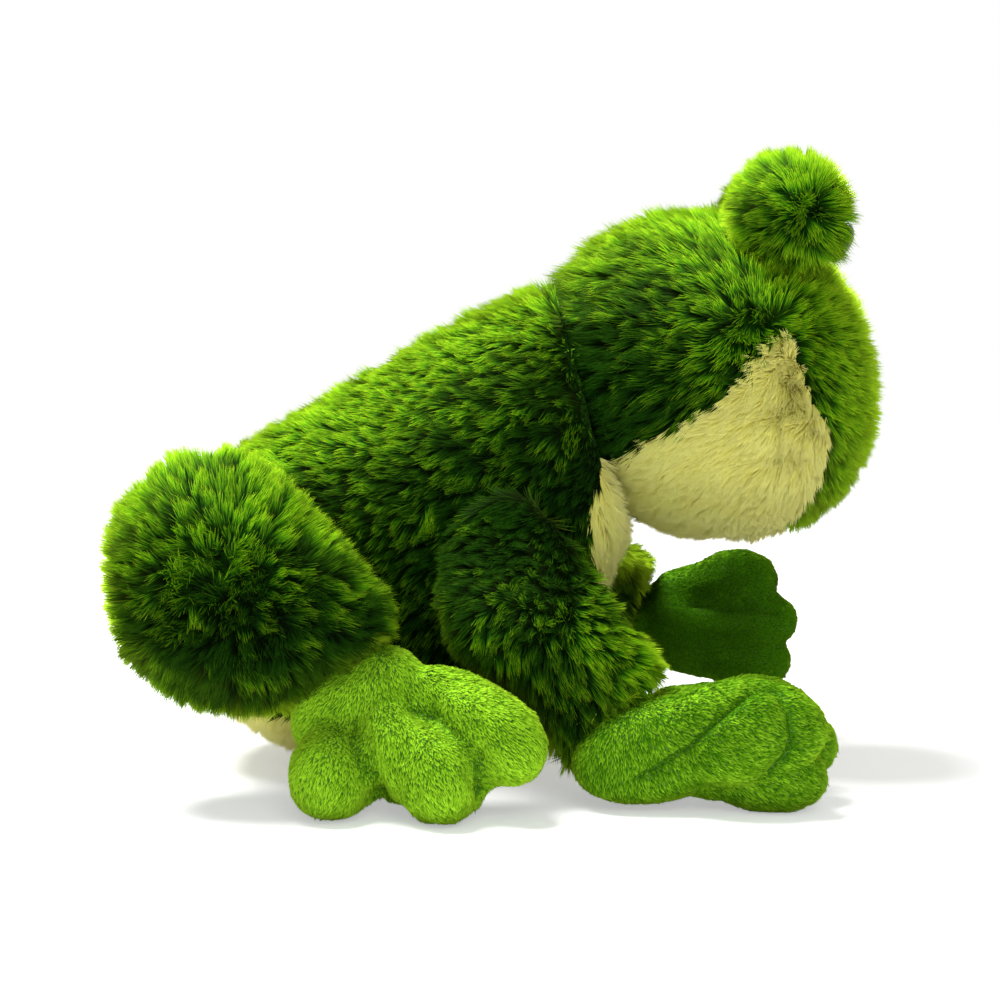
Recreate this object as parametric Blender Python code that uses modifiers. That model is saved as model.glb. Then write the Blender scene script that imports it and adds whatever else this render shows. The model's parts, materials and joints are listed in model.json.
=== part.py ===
"""A stuffed toy frog that sits on its belly, with its head sewn on so that it nods and twists, two arms
with sewn hands, two thighs with sewn feet, and two eye bumps with plastic eyes.

Metres, +Z up. The frog faces +X and stands on the floor at Z = 0, under the middle of its length and width.
Each soft form is a fabric skin round a filling of loose fibre. The skins are as thick as the cloth with
the packed foot of its pile, and everything that is sewn together keeps one seam gap.
"""

import math

import bmesh
import bpy
from mathutils import Matrix, Vector

MM = 0.001

# Cloth, seams and the flats that the toy stands on
FABRIC = 4.0 * MM
SEAM_GAP = 0.3 * MM
FILLING_GAP = 0.5 * MM
FLAT_DEPTH = 0.5 * MM
OVERRUN = 60.0 * MM

# Torso: length from rump to chest, height from floor to nape, and width across the sides
TORSO_LENGTH = 159.0 * MM
TORSO_HEIGHT = 177.5 * MM
TORSO_WIDTH = 104.0 * MM
TORSO_SQUARENESS = 2.5
TORSO_SIDES = 16

# Head: a ball with a muzzle and two cheeks, sunk into the neck by its radius less the neck reach
HEAD_RADIUS = 57.0 * MM
NECK_REACH = 42.5 * MM
NECK_CLEARANCE = 0.8 * MM
MUZZLE_SWELL = 7.0 * MM
CHEEK_SWELL = 6.0 * MM
NECK_THREAD_RADIUS = 0.8 * MM

# Eye bumps and eyes
BUMP_RADIUS = 19.5 * MM
BUMP_SPACING = 64.0 * MM
EYE_RADIUS = 7.0 * MM
EYE_DOME = 4.0 * MM
SHANK_RADIUS = 2.0 * MM
SHANK_LENGTH = 11.0 * MM
WASHER_RADIUS = 6.5 * MM
WASHER_THICKNESS = 1.5 * MM

# Arms, from the shoulder to the wrist
ARM_LENGTH = 79.0 * MM
ARM_HALF_WIDTH = 28.0 * MM
ARM_HALF_THICKNESS = 17.5 * MM
ARM_SQUARENESS = 2.2
LIMB_SIDES = 12

# Hands, from the wrist to the tip of the middle finger
HAND_LENGTH = 72.0 * MM
HAND_HALF_WIDTH = 28.0 * MM
HAND_HALF_THICKNESS = 14.0 * MM
WRIST_RADIUS = 16.0 * MM
SLEEVE_SETBACK = 5.2 * MM

# Thighs: long ovals that taper to the knee
THIGH_LENGTH = 91.0 * MM
THIGH_HEIGHT = 87.0 * MM
THIGH_HALF_THICKNESS = 31.0 * MM
THIGH_SQUARENESS = 2.1

# Feet, from the ankle to the tip of the middle toe
FOOT_LENGTH = 46.0 * MM
TOE_RADIUS = 15.5 * MM
TOE_HALF_LENGTH = 24.0 * MM
ANKLE_RADIUS = 15.0 * MM

# Pellet bag in the seat
BAG_LENGTH = 76.0 * MM
BAG_WIDTH = 66.0 * MM
BAG_HEIGHT = 34.0 * MM

# How each sewn limb lies at rest, in degrees
RIGHT_ARM_SPREAD = 3.0
LEFT_ARM_SPREAD = 24.0
LEFT_ARM_SWING = 44.0
RIGHT_HAND_ROLL = 30.0
LEFT_HAND_ROLL = 84.0
RIGHT_HAND_PITCH = 3.0
LEFT_HAND_PITCH = -5.0
RIGHT_HAND_YAW = 2.0
LEFT_HAND_YAW = 36.0

# Shares of the torso: top x, top z, bottom x, bottom z and half width at each ring, rump to neck
TORSO_RING_SHARES = (
    (0.000, 0.442, 0.013, 0.250, 0.45),
    (0.038, 0.583, 0.088, 0.115, 0.80),
    (0.145, 0.673, 0.220, 0.040, 0.96),
    (0.289, 0.741, 0.409, 0.000, 1.00),
    (0.440, 0.814, 0.610, 0.012, 1.00),
    (0.579, 0.893, 0.786, 0.149, 1.00),
    (0.711, 0.955, 0.918, 0.313, 1.00),
    (0.849, 1.000, 1.000, 0.482, 0.94),
)

# Shares of the torso along the seam between its back and its belly, from the neck to the rump
BELLY_SEAM_SHARES = (
    (1.15, 0.72),
    (0.935, 0.63),
    (0.912, 0.51),
    (0.918, 0.39),
    (0.850, 0.29),
    (0.710, 0.22),
    (0.550, 0.18),
    (0.400, 0.16),
    (0.240, 0.14),
    (0.110, 0.15),
    (-0.15, 0.17),
    (-0.15, -0.15),
    (1.15, -0.15),
)

# Shares of the head radius from its centre, round the jaw and cheek panel as seen from the side
JAW_SEAM_SHARES = (
    (-0.84, -0.64),
    (-0.49, -0.47),
    (-0.31, -0.35),
    (-0.10, -0.23),
    (0.10, -0.09),
    (0.25, 0.13),
    (0.35, 0.24),
    (0.42, 0.22),
    (0.46, 0.09),
    (0.56, -0.14),
    (0.66, -0.33),
    (0.65, -0.56),
    (0.54, -0.77),
    (0.43, -1.02),
    (0.36, -1.30),
    (-0.84, -1.30),
)

# Shares of the arm: along its length, then rear, front and thickness at each ring, shoulder to wrist
ARM_RING_SHARES = (
    (-0.14, -0.48, 0.22, 0.50),
    (-0.04, -0.84, 0.45, 0.90),
    (0.12, -1.12, 0.56, 1.00),
    (0.30, -1.26, 0.58, 1.00),
    (0.48, -1.10, 0.64, 0.98),
    (0.68, -0.86, 0.76, 0.94),
    (0.86, -0.80, 0.82, 0.90),
    (1.08, -0.78, 0.66, 0.72),
)

# Shares of the thigh from the hip: top x, top z, bottom x, bottom z and thickness, rear to knee
THIGH_RING_SHARES = (
    (-0.48, 0.17, -0.48, -0.12, 0.34),
    (-0.41, 0.34, -0.42, -0.33, 0.70),
    (-0.25, 0.49, -0.29, -0.45, 0.93),
    (-0.04, 0.50, -0.08, -0.52, 1.00),
    (0.15, 0.37, 0.15, -0.48, 0.97),
    (0.33, 0.14, 0.34, -0.34, 0.80),
    (0.49, -0.05, 0.49, -0.24, 0.48),
)

# Places on the torso and thigh that carry the limbs, as shares
SHOULDER_SHARE = (0.742, 0.521)
HIP_SHARE = 0.2075
ANKLE_SHARE = (0.485, -0.37)
BAG_SHARE = 0.33
BAG_LIFT_SHARE = 0.3
THIGH_SEAT_SHARE = 0.9
ANKLE_OUT_SHARE = 0.14
RIGHT_ARM_SEAT_SHARE = 0.86
LEFT_ARM_SEAT_SHARE = 0.66
OPENING_SHARE = 0.8
RIGHT_SLEEVE_MITRE_SHARE = 0.45
LEFT_SLEEVE_MITRE_SHARE = 1.0

# Directions on the head and bumps, each a unit vector once normalised
MUZZLE_DIRECTION = (0.74, 0.0, -0.67)
CHEEK_DIRECTION = (0.45, 0.85, -0.27)
EYE_DIRECTION = (0.88, 0.0, -0.47)
SWELL_POWER = 6
BUMP_PLACE_SHARES = (0.44, 0.97)

# Hand lobes: centre along, centre across, half length, half width, half thickness and turn in degrees.
# The lengths are shares of the hand's length, width and thickness.
HAND_LOBE_SHARES = (
    (0.41, 0.00, 0.43, 0.86, 1.12, 0.0),
    (0.63, 0.50, 0.30, 0.50, 0.98, 11.0),
    (0.69, 0.00, 0.31, 0.50, 1.02, 0.0),
    (0.61, -0.51, 0.30, 0.51, 0.97, -12.0),
)

# Foot lobes: forward and outward of the ankle, down from it, half length, radius, turn and dip in degrees.
# The first three are shares of the foot's length, the next two of the toe's half length and radius.
FOOT_LOBE_SHARES = (
    (0.14, 0.16, 0.36, 0.92, 1.22, 20.0, 28.0),
    (-0.26, 0.27, 0.50, 0.86, 1.02, -30.0, 22.0),
    (0.42, 0.32, 0.47, 0.96, 1.14, 16.0, 22.0),
    (0.72, 0.29, 0.27, 0.96, 1.04, 60.0, 18.0),
)

# Finishes: the base colour and the roughness of each cloth or plastic
LEAF_PLUSH = ((0.06, 0.20, 0.012, 1.0), 0.95)
CREAM_PLUSH = ((0.68, 0.66, 0.28, 1.0), 0.95)
MINKY = ((0.16, 0.38, 0.03, 1.0), 0.9)
FILLING_WHITE = ((0.82, 0.82, 0.80, 1.0), 1.0)
BAG_CLOTH = ((0.62, 0.58, 0.48, 1.0), 0.9)
THREAD_GREEN = ((0.05, 0.15, 0.01, 1.0), 0.6)
EYE_BLACK = ((0.008, 0.008, 0.008, 1.0), 0.15)
WASHER_WHITE = ((0.75, 0.75, 0.72, 1.0), 0.5)

# How finely each kind of form is divided
HEAD_SEGMENTS = 18
HEAD_RINGS = 10
BUMP_SEGMENTS = 12
BUMP_RINGS = 7
LOBE_SEGMENTS = 9
LOBE_RINGS = 6
INNER_LOBE_SEGMENTS = 6
INNER_LOBE_RINGS = 4
FACET_TURN = 13.0
NECK_SOCKET_SEGMENTS = 28
JOINT_SOCKET_SEGMENTS = 14
PIN_SEGMENTS = 10
THREAD_SEGMENTS = 24
THREAD_SIDES = 4


def clear_scene():
    for old in list(bpy.data.objects):
        bpy.data.objects.remove(old, do_unlink=True)


def new_collection(name):
    collection = bpy.data.collections.new(name)
    bpy.context.scene.collection.children.link(collection)
    return collection


clear_scene()
FROG = new_collection("plush frog")
CUTTERS = new_collection("cutters")


def material(name, colour, roughness):
    made = bpy.data.materials.new(name)
    made.use_nodes = True
    shader = made.node_tree.nodes["Principled BSDF"]
    shader.inputs["Base Color"].default_value = colour
    shader.inputs["Roughness"].default_value = roughness
    shader.inputs["Metallic"].default_value = 0.0
    return made


def object_from(bm, name, collection=CUTTERS):
    """The bmesh as a named object of flat triangles. In the cutters' collection it isn't rendered."""
    bmesh.ops.triangulate(bm, faces=bm.faces)
    bmesh.ops.recalc_face_normals(bm, faces=bm.faces)
    mesh = bpy.data.meshes.new(name)
    bm.to_mesh(mesh)
    bm.free()
    made = bpy.data.objects.new(name, mesh)
    collection.objects.link(made)
    if collection is CUTTERS:
        made.hide_render = True
        made.display_type = "WIRE"
    return made


def finish_piece(piece, finish, body):
    """Gives a piece its material and smooth shading, and its origin on its body's joint."""
    piece.data.materials.append(material(piece.name + " material", *finish))
    piece.data.shade_smooth()
    piece.data.transform(Matrix.Translation(-body["pivot"]))
    piece.parent = body["empty"]
    return piece


def new_body(name, pivot, parent=None):
    """An empty at the joint that its pieces turn about, with the joint's place beside it."""
    empty = bpy.data.objects.new(name, None)
    FROG.objects.link(empty)
    if parent:
        empty.parent = parent["empty"]
        empty.location = pivot - parent["pivot"]
    else:
        empty.location = pivot
    return {"empty": empty, "pivot": pivot}


def cut_with(piece, cutter, operation="DIFFERENCE"):
    boolean = piece.modifiers.new(f"{operation.lower()} {cutter.name}", "BOOLEAN")
    boolean.operation = operation
    boolean.object = cutter


def make_shell(piece, thickness=FABRIC):
    solidify = piece.modifiers.new("fabric", "SOLIDIFY")
    solidify.thickness = thickness
    solidify.offset = -1.0
    solidify.use_even_offset = True


def shrink(piece, depth):
    """Moves every face inward by the depth, or outward where the depth is negative."""
    bm = bmesh.new()
    bm.from_mesh(piece.data)
    bm.normal_update()
    moves = [vertex.normal * depth * vertex.calc_shell_factor() for vertex in bm.verts]
    for vertex, move in zip(bm.verts, moves):
        vertex.co -= move
    bm.to_mesh(piece.data)
    bm.free()


def rounded_ring(sides, squareness):
    """Unit points round a softly squared oval: across the toy, then along its height."""
    for step in range(sides):
        angle = math.tau * step / sides
        across, lift = math.cos(angle), math.sin(angle)
        yield (
            math.copysign(abs(across) ** (2 / squareness), across),
            math.copysign(abs(lift) ** (2 / squareness), lift),
        )


def soft_loft(name, rings, sides, squareness):
    """A closed form through oval rings, each given by its centre, its half height and its half width."""
    bm = bmesh.new()
    loops = []
    for centre, half_height, half_width in rings:
        ring = rounded_ring(sides, squareness)
        points = [centre + half_height * lift + half_width * across for across, lift in ring]
        loops.append([bm.verts.new(point) for point in points])
    for first, second in zip(loops, loops[1:]):
        for i in range(sides):
            j = (i + 1) % sides
            bm.faces.new((first[i], first[j], second[j], second[i]))
    bm.faces.new(loops[0])
    bm.faces.new(loops[-1])
    return object_from(bm, name)


def ball(name, centre, radius, segments, rings):
    bm = bmesh.new()
    bmesh.ops.create_uvsphere(bm, u_segments=segments, v_segments=rings, radius=radius)
    bmesh.ops.translate(bm, verts=bm.verts, vec=centre)
    return object_from(bm, name)


def lobe_mesh(centre, half, axes, segments=LOBE_SEGMENTS, rings=LOBE_RINGS, facet_turn=0.0):
    """A ball drawn out to its half sizes along its own axes, with its poles at the ends of the first."""
    bm = bmesh.new()
    bmesh.ops.create_uvsphere(bm, u_segments=segments, v_segments=rings, radius=1.0)
    poles_to_first = Matrix(((0, 0, 1), (0, 1, 0), (-1, 0, 0)))
    facets = Matrix.Rotation(math.radians(facet_turn), 3, "X") @ poles_to_first
    shape = axes @ Matrix.Diagonal(half) @ facets
    bmesh.ops.transform(bm, matrix=Matrix.Translation(centre) @ shape.to_4x4(), verts=bm.verts)
    return bm


def socket_ball(name, centre, radius, segments=JOINT_SOCKET_SEGMENTS):
    """A ball whose flat facets stay outside the radius, so that a round child turns freely in it."""
    facet = math.cos(math.pi / segments)
    return ball(name, centre, radius / facet**2, segments, segments // 2)


def prism(name, outline, half_width):
    """A flat outline in X and Z, extruded to both sides of the middle plane."""
    curve = bpy.data.curves.new(name, "CURVE")
    curve.dimensions = "2D"
    curve.fill_mode = "BOTH"
    curve.extrude = half_width
    spline = curve.splines.new("POLY")
    spline.points.add(len(outline) - 1)
    for point, (x, z) in zip(spline.points, outline):
        point.co = (x, z, 0.0, 1.0)
    spline.use_cyclic_u = True
    drawn = bpy.data.objects.new(name + " outline", curve)
    CUTTERS.objects.link(drawn)
    drawn.rotation_euler = (math.radians(90), 0.0, 0.0)
    bpy.context.view_layer.update()
    mesh = bpy.data.meshes.new_from_object(drawn.evaluated_get(bpy.context.evaluated_depsgraph_get()))
    bm = bmesh.new()
    bm.from_mesh(mesh)
    bmesh.ops.transform(bm, matrix=drawn.matrix_world, verts=bm.verts)
    bmesh.ops.remove_doubles(bm, verts=bm.verts, dist=SEAM_GAP / 10)
    bpy.data.objects.remove(drawn)
    return object_from(bm, name)


def grown(outline, by):
    """The outline with every side moved outward, for the gap that the panels beside a seam keep."""
    area = sum(a[0] * b[1] - b[0] * a[1] for a, b in zip(outline, outline[1:] + outline[:1]))
    turn = math.copysign(1, area)
    moved = []
    for i, point in enumerate(outline):
        before = Vector(point) - Vector(outline[i - 1])
        after = Vector(outline[(i + 1) % len(outline)]) - Vector(point)
        out_before = Vector((before.y, -before.x)).normalized() * turn
        out_after = Vector((after.y, -after.x)).normalized() * turn
        mitre = (out_before + out_after).normalized()
        moved.append(tuple(Vector(point) + mitre * by / mitre.dot(out_after)))
    return moved


# The torso's rings set the neck, and the neck sets the head
TORSO_HALF_WIDTH = TORSO_WIDTH / 2
LIMB_PLANE = TORSO_HALF_WIDTH + SEAM_GAP


def torso_point(x_share, z_share):
    return Vector((x_share * TORSO_LENGTH, 0.0, z_share * TORSO_HEIGHT - FLAT_DEPTH))


nape_x, nape_z, throat_x, throat_z, neck_width_share = TORSO_RING_SHARES[-1]
nape = torso_point(nape_x, nape_z)
throat = torso_point(throat_x, throat_z)
neck_centre = (nape + throat) / 2
neck_rim = (nape - throat).length / 2
up_the_neck = (nape - throat).normalized()
neck_axis = Vector((up_the_neck.z, 0.0, -up_the_neck.x))
head_centre = neck_centre + neck_axis * NECK_REACH


def hand_axes(side, roll, pitch, yaw):
    """Axes of a hand: along its fingers, across its fan and through its thickness."""
    turn = Matrix.Rotation(math.radians(-yaw) * side, 3, "Z")
    turn = turn @ Matrix.Rotation(math.radians(pitch), 3, "Y")
    turn = turn @ Matrix.Rotation(math.radians(-roll) * side, 3, "X")
    return turn @ Matrix.Diagonal((1.0, side, 1.0))


def hand_lobes(axes, inset=0.0):
    """Each lobe of a hand from its wrist: centre, half sizes less the inset, and axes."""
    lobes = [(Vector((0.0, 0.0, 0.0)), Vector((WRIST_RADIUS - inset,) * 3), Matrix.Identity(3))]
    for along, across, length, width, thickness, turn in HAND_LOBE_SHARES:
        centre = axes @ Vector((along * HAND_LENGTH, across * HAND_HALF_WIDTH, 0.0))
        half = Vector((length * HAND_LENGTH, width * HAND_HALF_WIDTH, thickness * HAND_HALF_THICKNESS))
        facing = axes @ Matrix.Rotation(math.radians(turn), 3, "Z")
        lobes.append((centre, half - Vector((inset,) * 3), facing))
    return lobes


def foot_lobes(side, inset=0.0):
    """Each lobe of a foot from its ankle: centre, half sizes less the inset, and axes."""
    lobes = [(Vector((0.0, 0.0, 0.0)), Vector((ANKLE_RADIUS - inset,) * 3), Matrix.Identity(3))]
    for forward, outward, down, length, radius, turn, dip in FOOT_LOBE_SHARES:
        centre = Vector((forward, side * outward, -down)) * FOOT_LENGTH
        half = Vector((length * TOE_HALF_LENGTH, radius * TOE_RADIUS, radius * TOE_RADIUS))
        heading = math.radians(90 - turn) * side
        facing = Matrix.Rotation(heading, 3, "Z") @ Matrix.Rotation(math.radians(dip), 3, "Y")
        lobes.append((centre, half - Vector((inset,) * 3), facing))
    return lobes


def lowest_of(lobes):
    """How far the lowest point of the lobes lies under their joint."""
    depth = 0.0
    for number, (centre, half, axes) in enumerate(lobes):
        bm = lobe_mesh(centre, half, axes, facet_turn=number * FACET_TURN)
        depth = max(depth, max(-vertex.co.z for vertex in bm.verts))
        bm.free()
    return depth


# Thighs stand on their feet, and the right arm leans forward until its hand lies on the floor
ankle_height = lowest_of(foot_lobes(1)) - FLAT_DEPTH
ankle_forward_share, ankle_drop_share = ANKLE_SHARE
hip_height = ankle_height - ankle_drop_share * THIGH_HEIGHT
thigh_middle = LIMB_PLANE + THIGH_HALF_THICKNESS * THIGH_SEAT_SHARE
ankle_out = thigh_middle + THIGH_HALF_THICKNESS * ANKLE_OUT_SHARE
shoulder = torso_point(*SHOULDER_SHARE)
right_hand_axes = hand_axes(-1, RIGHT_HAND_ROLL, RIGHT_HAND_PITCH, RIGHT_HAND_YAW)
left_hand_axes = hand_axes(1, LEFT_HAND_ROLL, LEFT_HAND_PITCH, LEFT_HAND_YAW)
wrist_height = lowest_of(hand_lobes(right_hand_axes)) - FLAT_DEPTH
right_arm_drop = (shoulder.z - wrist_height) / (ARM_LENGTH * math.cos(math.radians(RIGHT_ARM_SPREAD)))
RIGHT_ARM_SWING = math.degrees(math.acos(min(1.0, right_arm_drop)))


def head_form():
    """The head's ball about its own centre, swelling at the muzzle and at both cheeks."""
    made = ball("head form", Vector((0.0, 0.0, 0.0)), HEAD_RADIUS, HEAD_SEGMENTS, HEAD_RINGS)
    swells = [(Vector(MUZZLE_DIRECTION).normalized(), MUZZLE_SWELL)]
    for side in (-1, 1):
        x, y, z = CHEEK_DIRECTION
        swells.append((Vector((x, side * y, z)).normalized(), CHEEK_SWELL))
    for vertex in made.data.vertices:
        outward = vertex.co.normalized()
        rise = sum(height * max(0.0, outward.dot(towards)) ** SWELL_POWER for towards, height in swells)
        vertex.co = outward * (HEAD_RADIUS + rise)
    return made


# The origin lies under the middle of the length, between the rear of the thighs and the front of the head
HEAD_FORM = head_form()
hip_x = HIP_SHARE * TORSO_LENGTH
thigh_rear = hip_x + THIGH_RING_SHARES[0][0] * THIGH_LENGTH
head_front = head_centre.x + max(vertex.co.x for vertex in HEAD_FORM.data.vertices)
TO_ORIGIN = Vector((-(thigh_rear + head_front) / 2, 0.0, 0.0))


def torso_rings():
    for top_x, top_z, bottom_x, bottom_z, width in TORSO_RING_SHARES:
        top = torso_point(top_x, top_z) + TO_ORIGIN
        bottom = torso_point(bottom_x, bottom_z) + TO_ORIGIN
        yield (top + bottom) / 2, (top - bottom) / 2, Vector((0.0, width * TORSO_HALF_WIDTH, 0.0))


def torso_cage(name):
    return soft_loft(name, torso_rings(), TORSO_SIDES, TORSO_SQUARENESS)


def floor_cutter():
    bm = bmesh.new()
    bmesh.ops.create_cube(bm, size=1.0)
    reach = TORSO_LENGTH * 4
    bmesh.ops.scale(bm, verts=bm.verts, vec=(reach, reach, OVERRUN))
    bmesh.ops.translate(bm, verts=bm.verts, vec=(0.0, 0.0, -OVERRUN / 2))
    return object_from(bm, "floor")


def torso_slab():
    """The space between the two limb planes, which the limbs are cut flat by."""
    bm = bmesh.new()
    bmesh.ops.create_cube(bm, size=1.0)
    reach = TORSO_LENGTH * 4
    bmesh.ops.scale(bm, verts=bm.verts, vec=(reach, LIMB_PLANE * 2, reach))
    return object_from(bm, "torso slab")


def half_space(name, point, normal, offset):
    """What lies beyond a plane across the normal, which passes the point by the offset."""
    bm = bmesh.new()
    bmesh.ops.create_cube(bm, size=OVERRUN * 2)
    facing = normal.to_track_quat("Z", "Y").to_matrix().to_4x4()
    place = Matrix.Translation(point + normal * (OVERRUN + offset)) @ facing
    bmesh.ops.transform(bm, matrix=place, verts=bm.verts)
    return object_from(bm, name)


FLOOR = floor_cutter()
SLAB = torso_slab()
HEAD_AT = head_centre + TO_ORIGIN
NECK_SOCKET = socket_ball("neck socket", HEAD_AT, HEAD_RADIUS + NECK_CLEARANCE, NECK_SOCKET_SEGMENTS)

torso = new_body("torso", neck_centre + TO_ORIGIN)
neck = new_body("neck", HEAD_AT, torso)
head = new_body("head", HEAD_AT, neck)


def as_piece(made, name):
    """Takes a form out of the cutters, so that it is a piece of the toy."""
    CUTTERS.objects.unlink(made)
    FROG.objects.link(made)
    made.name = name
    made.hide_render = False
    made.display_type = "TEXTURED"
    return made


def build_torso():
    """Back and belly panels that meet along a seam, their fibre, and a bag of pellets in the seat."""
    seam = [tuple(torso_point(*share).xz + TO_ORIGIN.xz) for share in BELLY_SEAM_SHARES]
    belly_side = prism("belly side", seam, TORSO_WIDTH)
    back_side_limit = prism("belly side with gap", grown(seam, SEAM_GAP), TORSO_WIDTH)
    back = as_piece(torso_cage("back"), "torso_back_panel")
    belly = as_piece(torso_cage("belly"), "torso_belly_panel")
    for panel in (back, belly):
        make_shell(panel)
        cut_with(panel, NECK_SOCKET)
    cut_with(back, back_side_limit)
    cut_with(belly, FLOOR)
    cut_with(belly, belly_side, "INTERSECT")
    finish_piece(back, LEAF_PLUSH, torso)
    finish_piece(belly, CREAM_PLUSH, torso)

    bag_lift = FABRIC + FLAT_DEPTH + BAG_HEIGHT * BAG_LIFT_SHARE
    bag_centre = torso_point(BAG_SHARE, 0.0) + TO_ORIGIN + Vector((0.0, 0.0, bag_lift))
    bag_half = Vector((BAG_LENGTH, BAG_WIDTH, BAG_HEIGHT)) / 2
    pocket_half = bag_half + Vector((SEAM_GAP,) * 3) * 2
    pocket = object_from(lobe_mesh(bag_centre, pocket_half, Matrix.Identity(3)), "bag pocket")
    filling = as_piece(torso_cage("torso filling"), "torso_filling")
    shrink(filling, FABRIC + FILLING_GAP)
    cut_with(filling, NECK_SOCKET)
    cut_with(filling, pocket)
    finish_piece(filling, FILLING_WHITE, torso)

    inside = torso_cage("torso inside")
    shrink(inside, FABRIC + FILLING_GAP)
    bag = as_piece(object_from(lobe_mesh(bag_centre, bag_half, Matrix.Identity(3)), "bag"), "pellet_bag")
    cut_with(bag, inside, "INTERSECT")
    finish_piece(bag, BAG_CLOTH, torso)


def head_cage(name):
    """A copy of the head's form at its place on the neck."""
    made = HEAD_FORM.copy()
    made.data = HEAD_FORM.data.copy()
    made.data.transform(Matrix.Translation(HEAD_AT))
    made.name = name
    CUTTERS.objects.link(made)
    return made


def build_head():
    """Crown and jaw panels round one ball of fibre."""
    seam = [(x * HEAD_RADIUS + HEAD_AT.x, z * HEAD_RADIUS + HEAD_AT.z) for x, z in JAW_SEAM_SHARES]
    jaw_side = prism("jaw side", seam, HEAD_RADIUS * 2)
    crown_side_limit = prism("jaw side with gap", grown(seam, SEAM_GAP), HEAD_RADIUS * 2)
    crown = as_piece(head_cage("crown"), "head_crown_panel")
    jaw = as_piece(head_cage("jaw"), "head_jaw_panel")
    for panel in (crown, jaw):
        make_shell(panel)
    cut_with(crown, crown_side_limit)
    cut_with(jaw, jaw_side, "INTERSECT")
    finish_piece(crown, LEAF_PLUSH, head)
    finish_piece(jaw, CREAM_PLUSH, head)
    filling = as_piece(head_cage("head filling"), "head_filling")
    shrink(filling, FABRIC + FILLING_GAP)
    finish_piece(filling, FILLING_WHITE, head)


def build_neck_thread():
    """The strong thread in the crease under the head, which gathers the neck and holds the head on."""
    stand_off = NECK_THREAD_RADIUS + SEAM_GAP
    plane = NECK_REACH - stand_off
    ring_radius = math.sqrt((HEAD_RADIUS + NECK_CLEARANCE + NECK_THREAD_RADIUS) ** 2 - plane**2)
    bpy.ops.mesh.primitive_torus_add(
        major_segments=THREAD_SEGMENTS,
        minor_segments=THREAD_SIDES,
        major_radius=ring_radius,
        minor_radius=NECK_THREAD_RADIUS,
    )
    thread = bpy.context.object
    for home in list(thread.users_collection):
        home.objects.unlink(thread)
    FROG.objects.link(thread)
    thread.name = "neck_gathering_thread"
    facing = neck_axis.to_track_quat("Z", "Y").to_matrix().to_4x4()
    thread.data.transform(Matrix.Translation(HEAD_AT - neck_axis * plane) @ facing)
    thread.location = (0.0, 0.0, 0.0)
    finish_piece(thread, THREAD_GREEN, neck)


def turned_ring(name, inner, outer, thickness):
    """A washer, as a square profile turned about Z with its outer face at the top."""
    mesh = bpy.data.meshes.new(name)
    corners = ((inner, 0.0), (outer, 0.0), (outer, -thickness), (inner, -thickness))
    points = [(x, 0.0, z) for x, z in corners]
    mesh.from_pydata(points, [(0, 1), (1, 2), (2, 3), (3, 0)], [])
    made = bpy.data.objects.new(name, mesh)
    FROG.objects.link(made)
    screw = made.modifiers.new("turn", "SCREW")
    screw.steps = PIN_SEGMENTS
    screw.render_steps = PIN_SEGMENTS
    screw.use_merge_vertices = True
    screw.merge_threshold = SEAM_GAP / 10
    return made


def pin(name, radius, bottom, top, frame):
    """A round pin along a frame's Z axis, between two heights on it."""
    bm = bmesh.new()
    bmesh.ops.create_cone(
        bm,
        cap_ends=True,
        segments=PIN_SEGMENTS,
        radius1=radius,
        radius2=radius,
        depth=top - bottom,
        matrix=frame @ Matrix.Translation((0.0, 0.0, (top + bottom) / 2)),
    )
    return object_from(bm, name)


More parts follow.
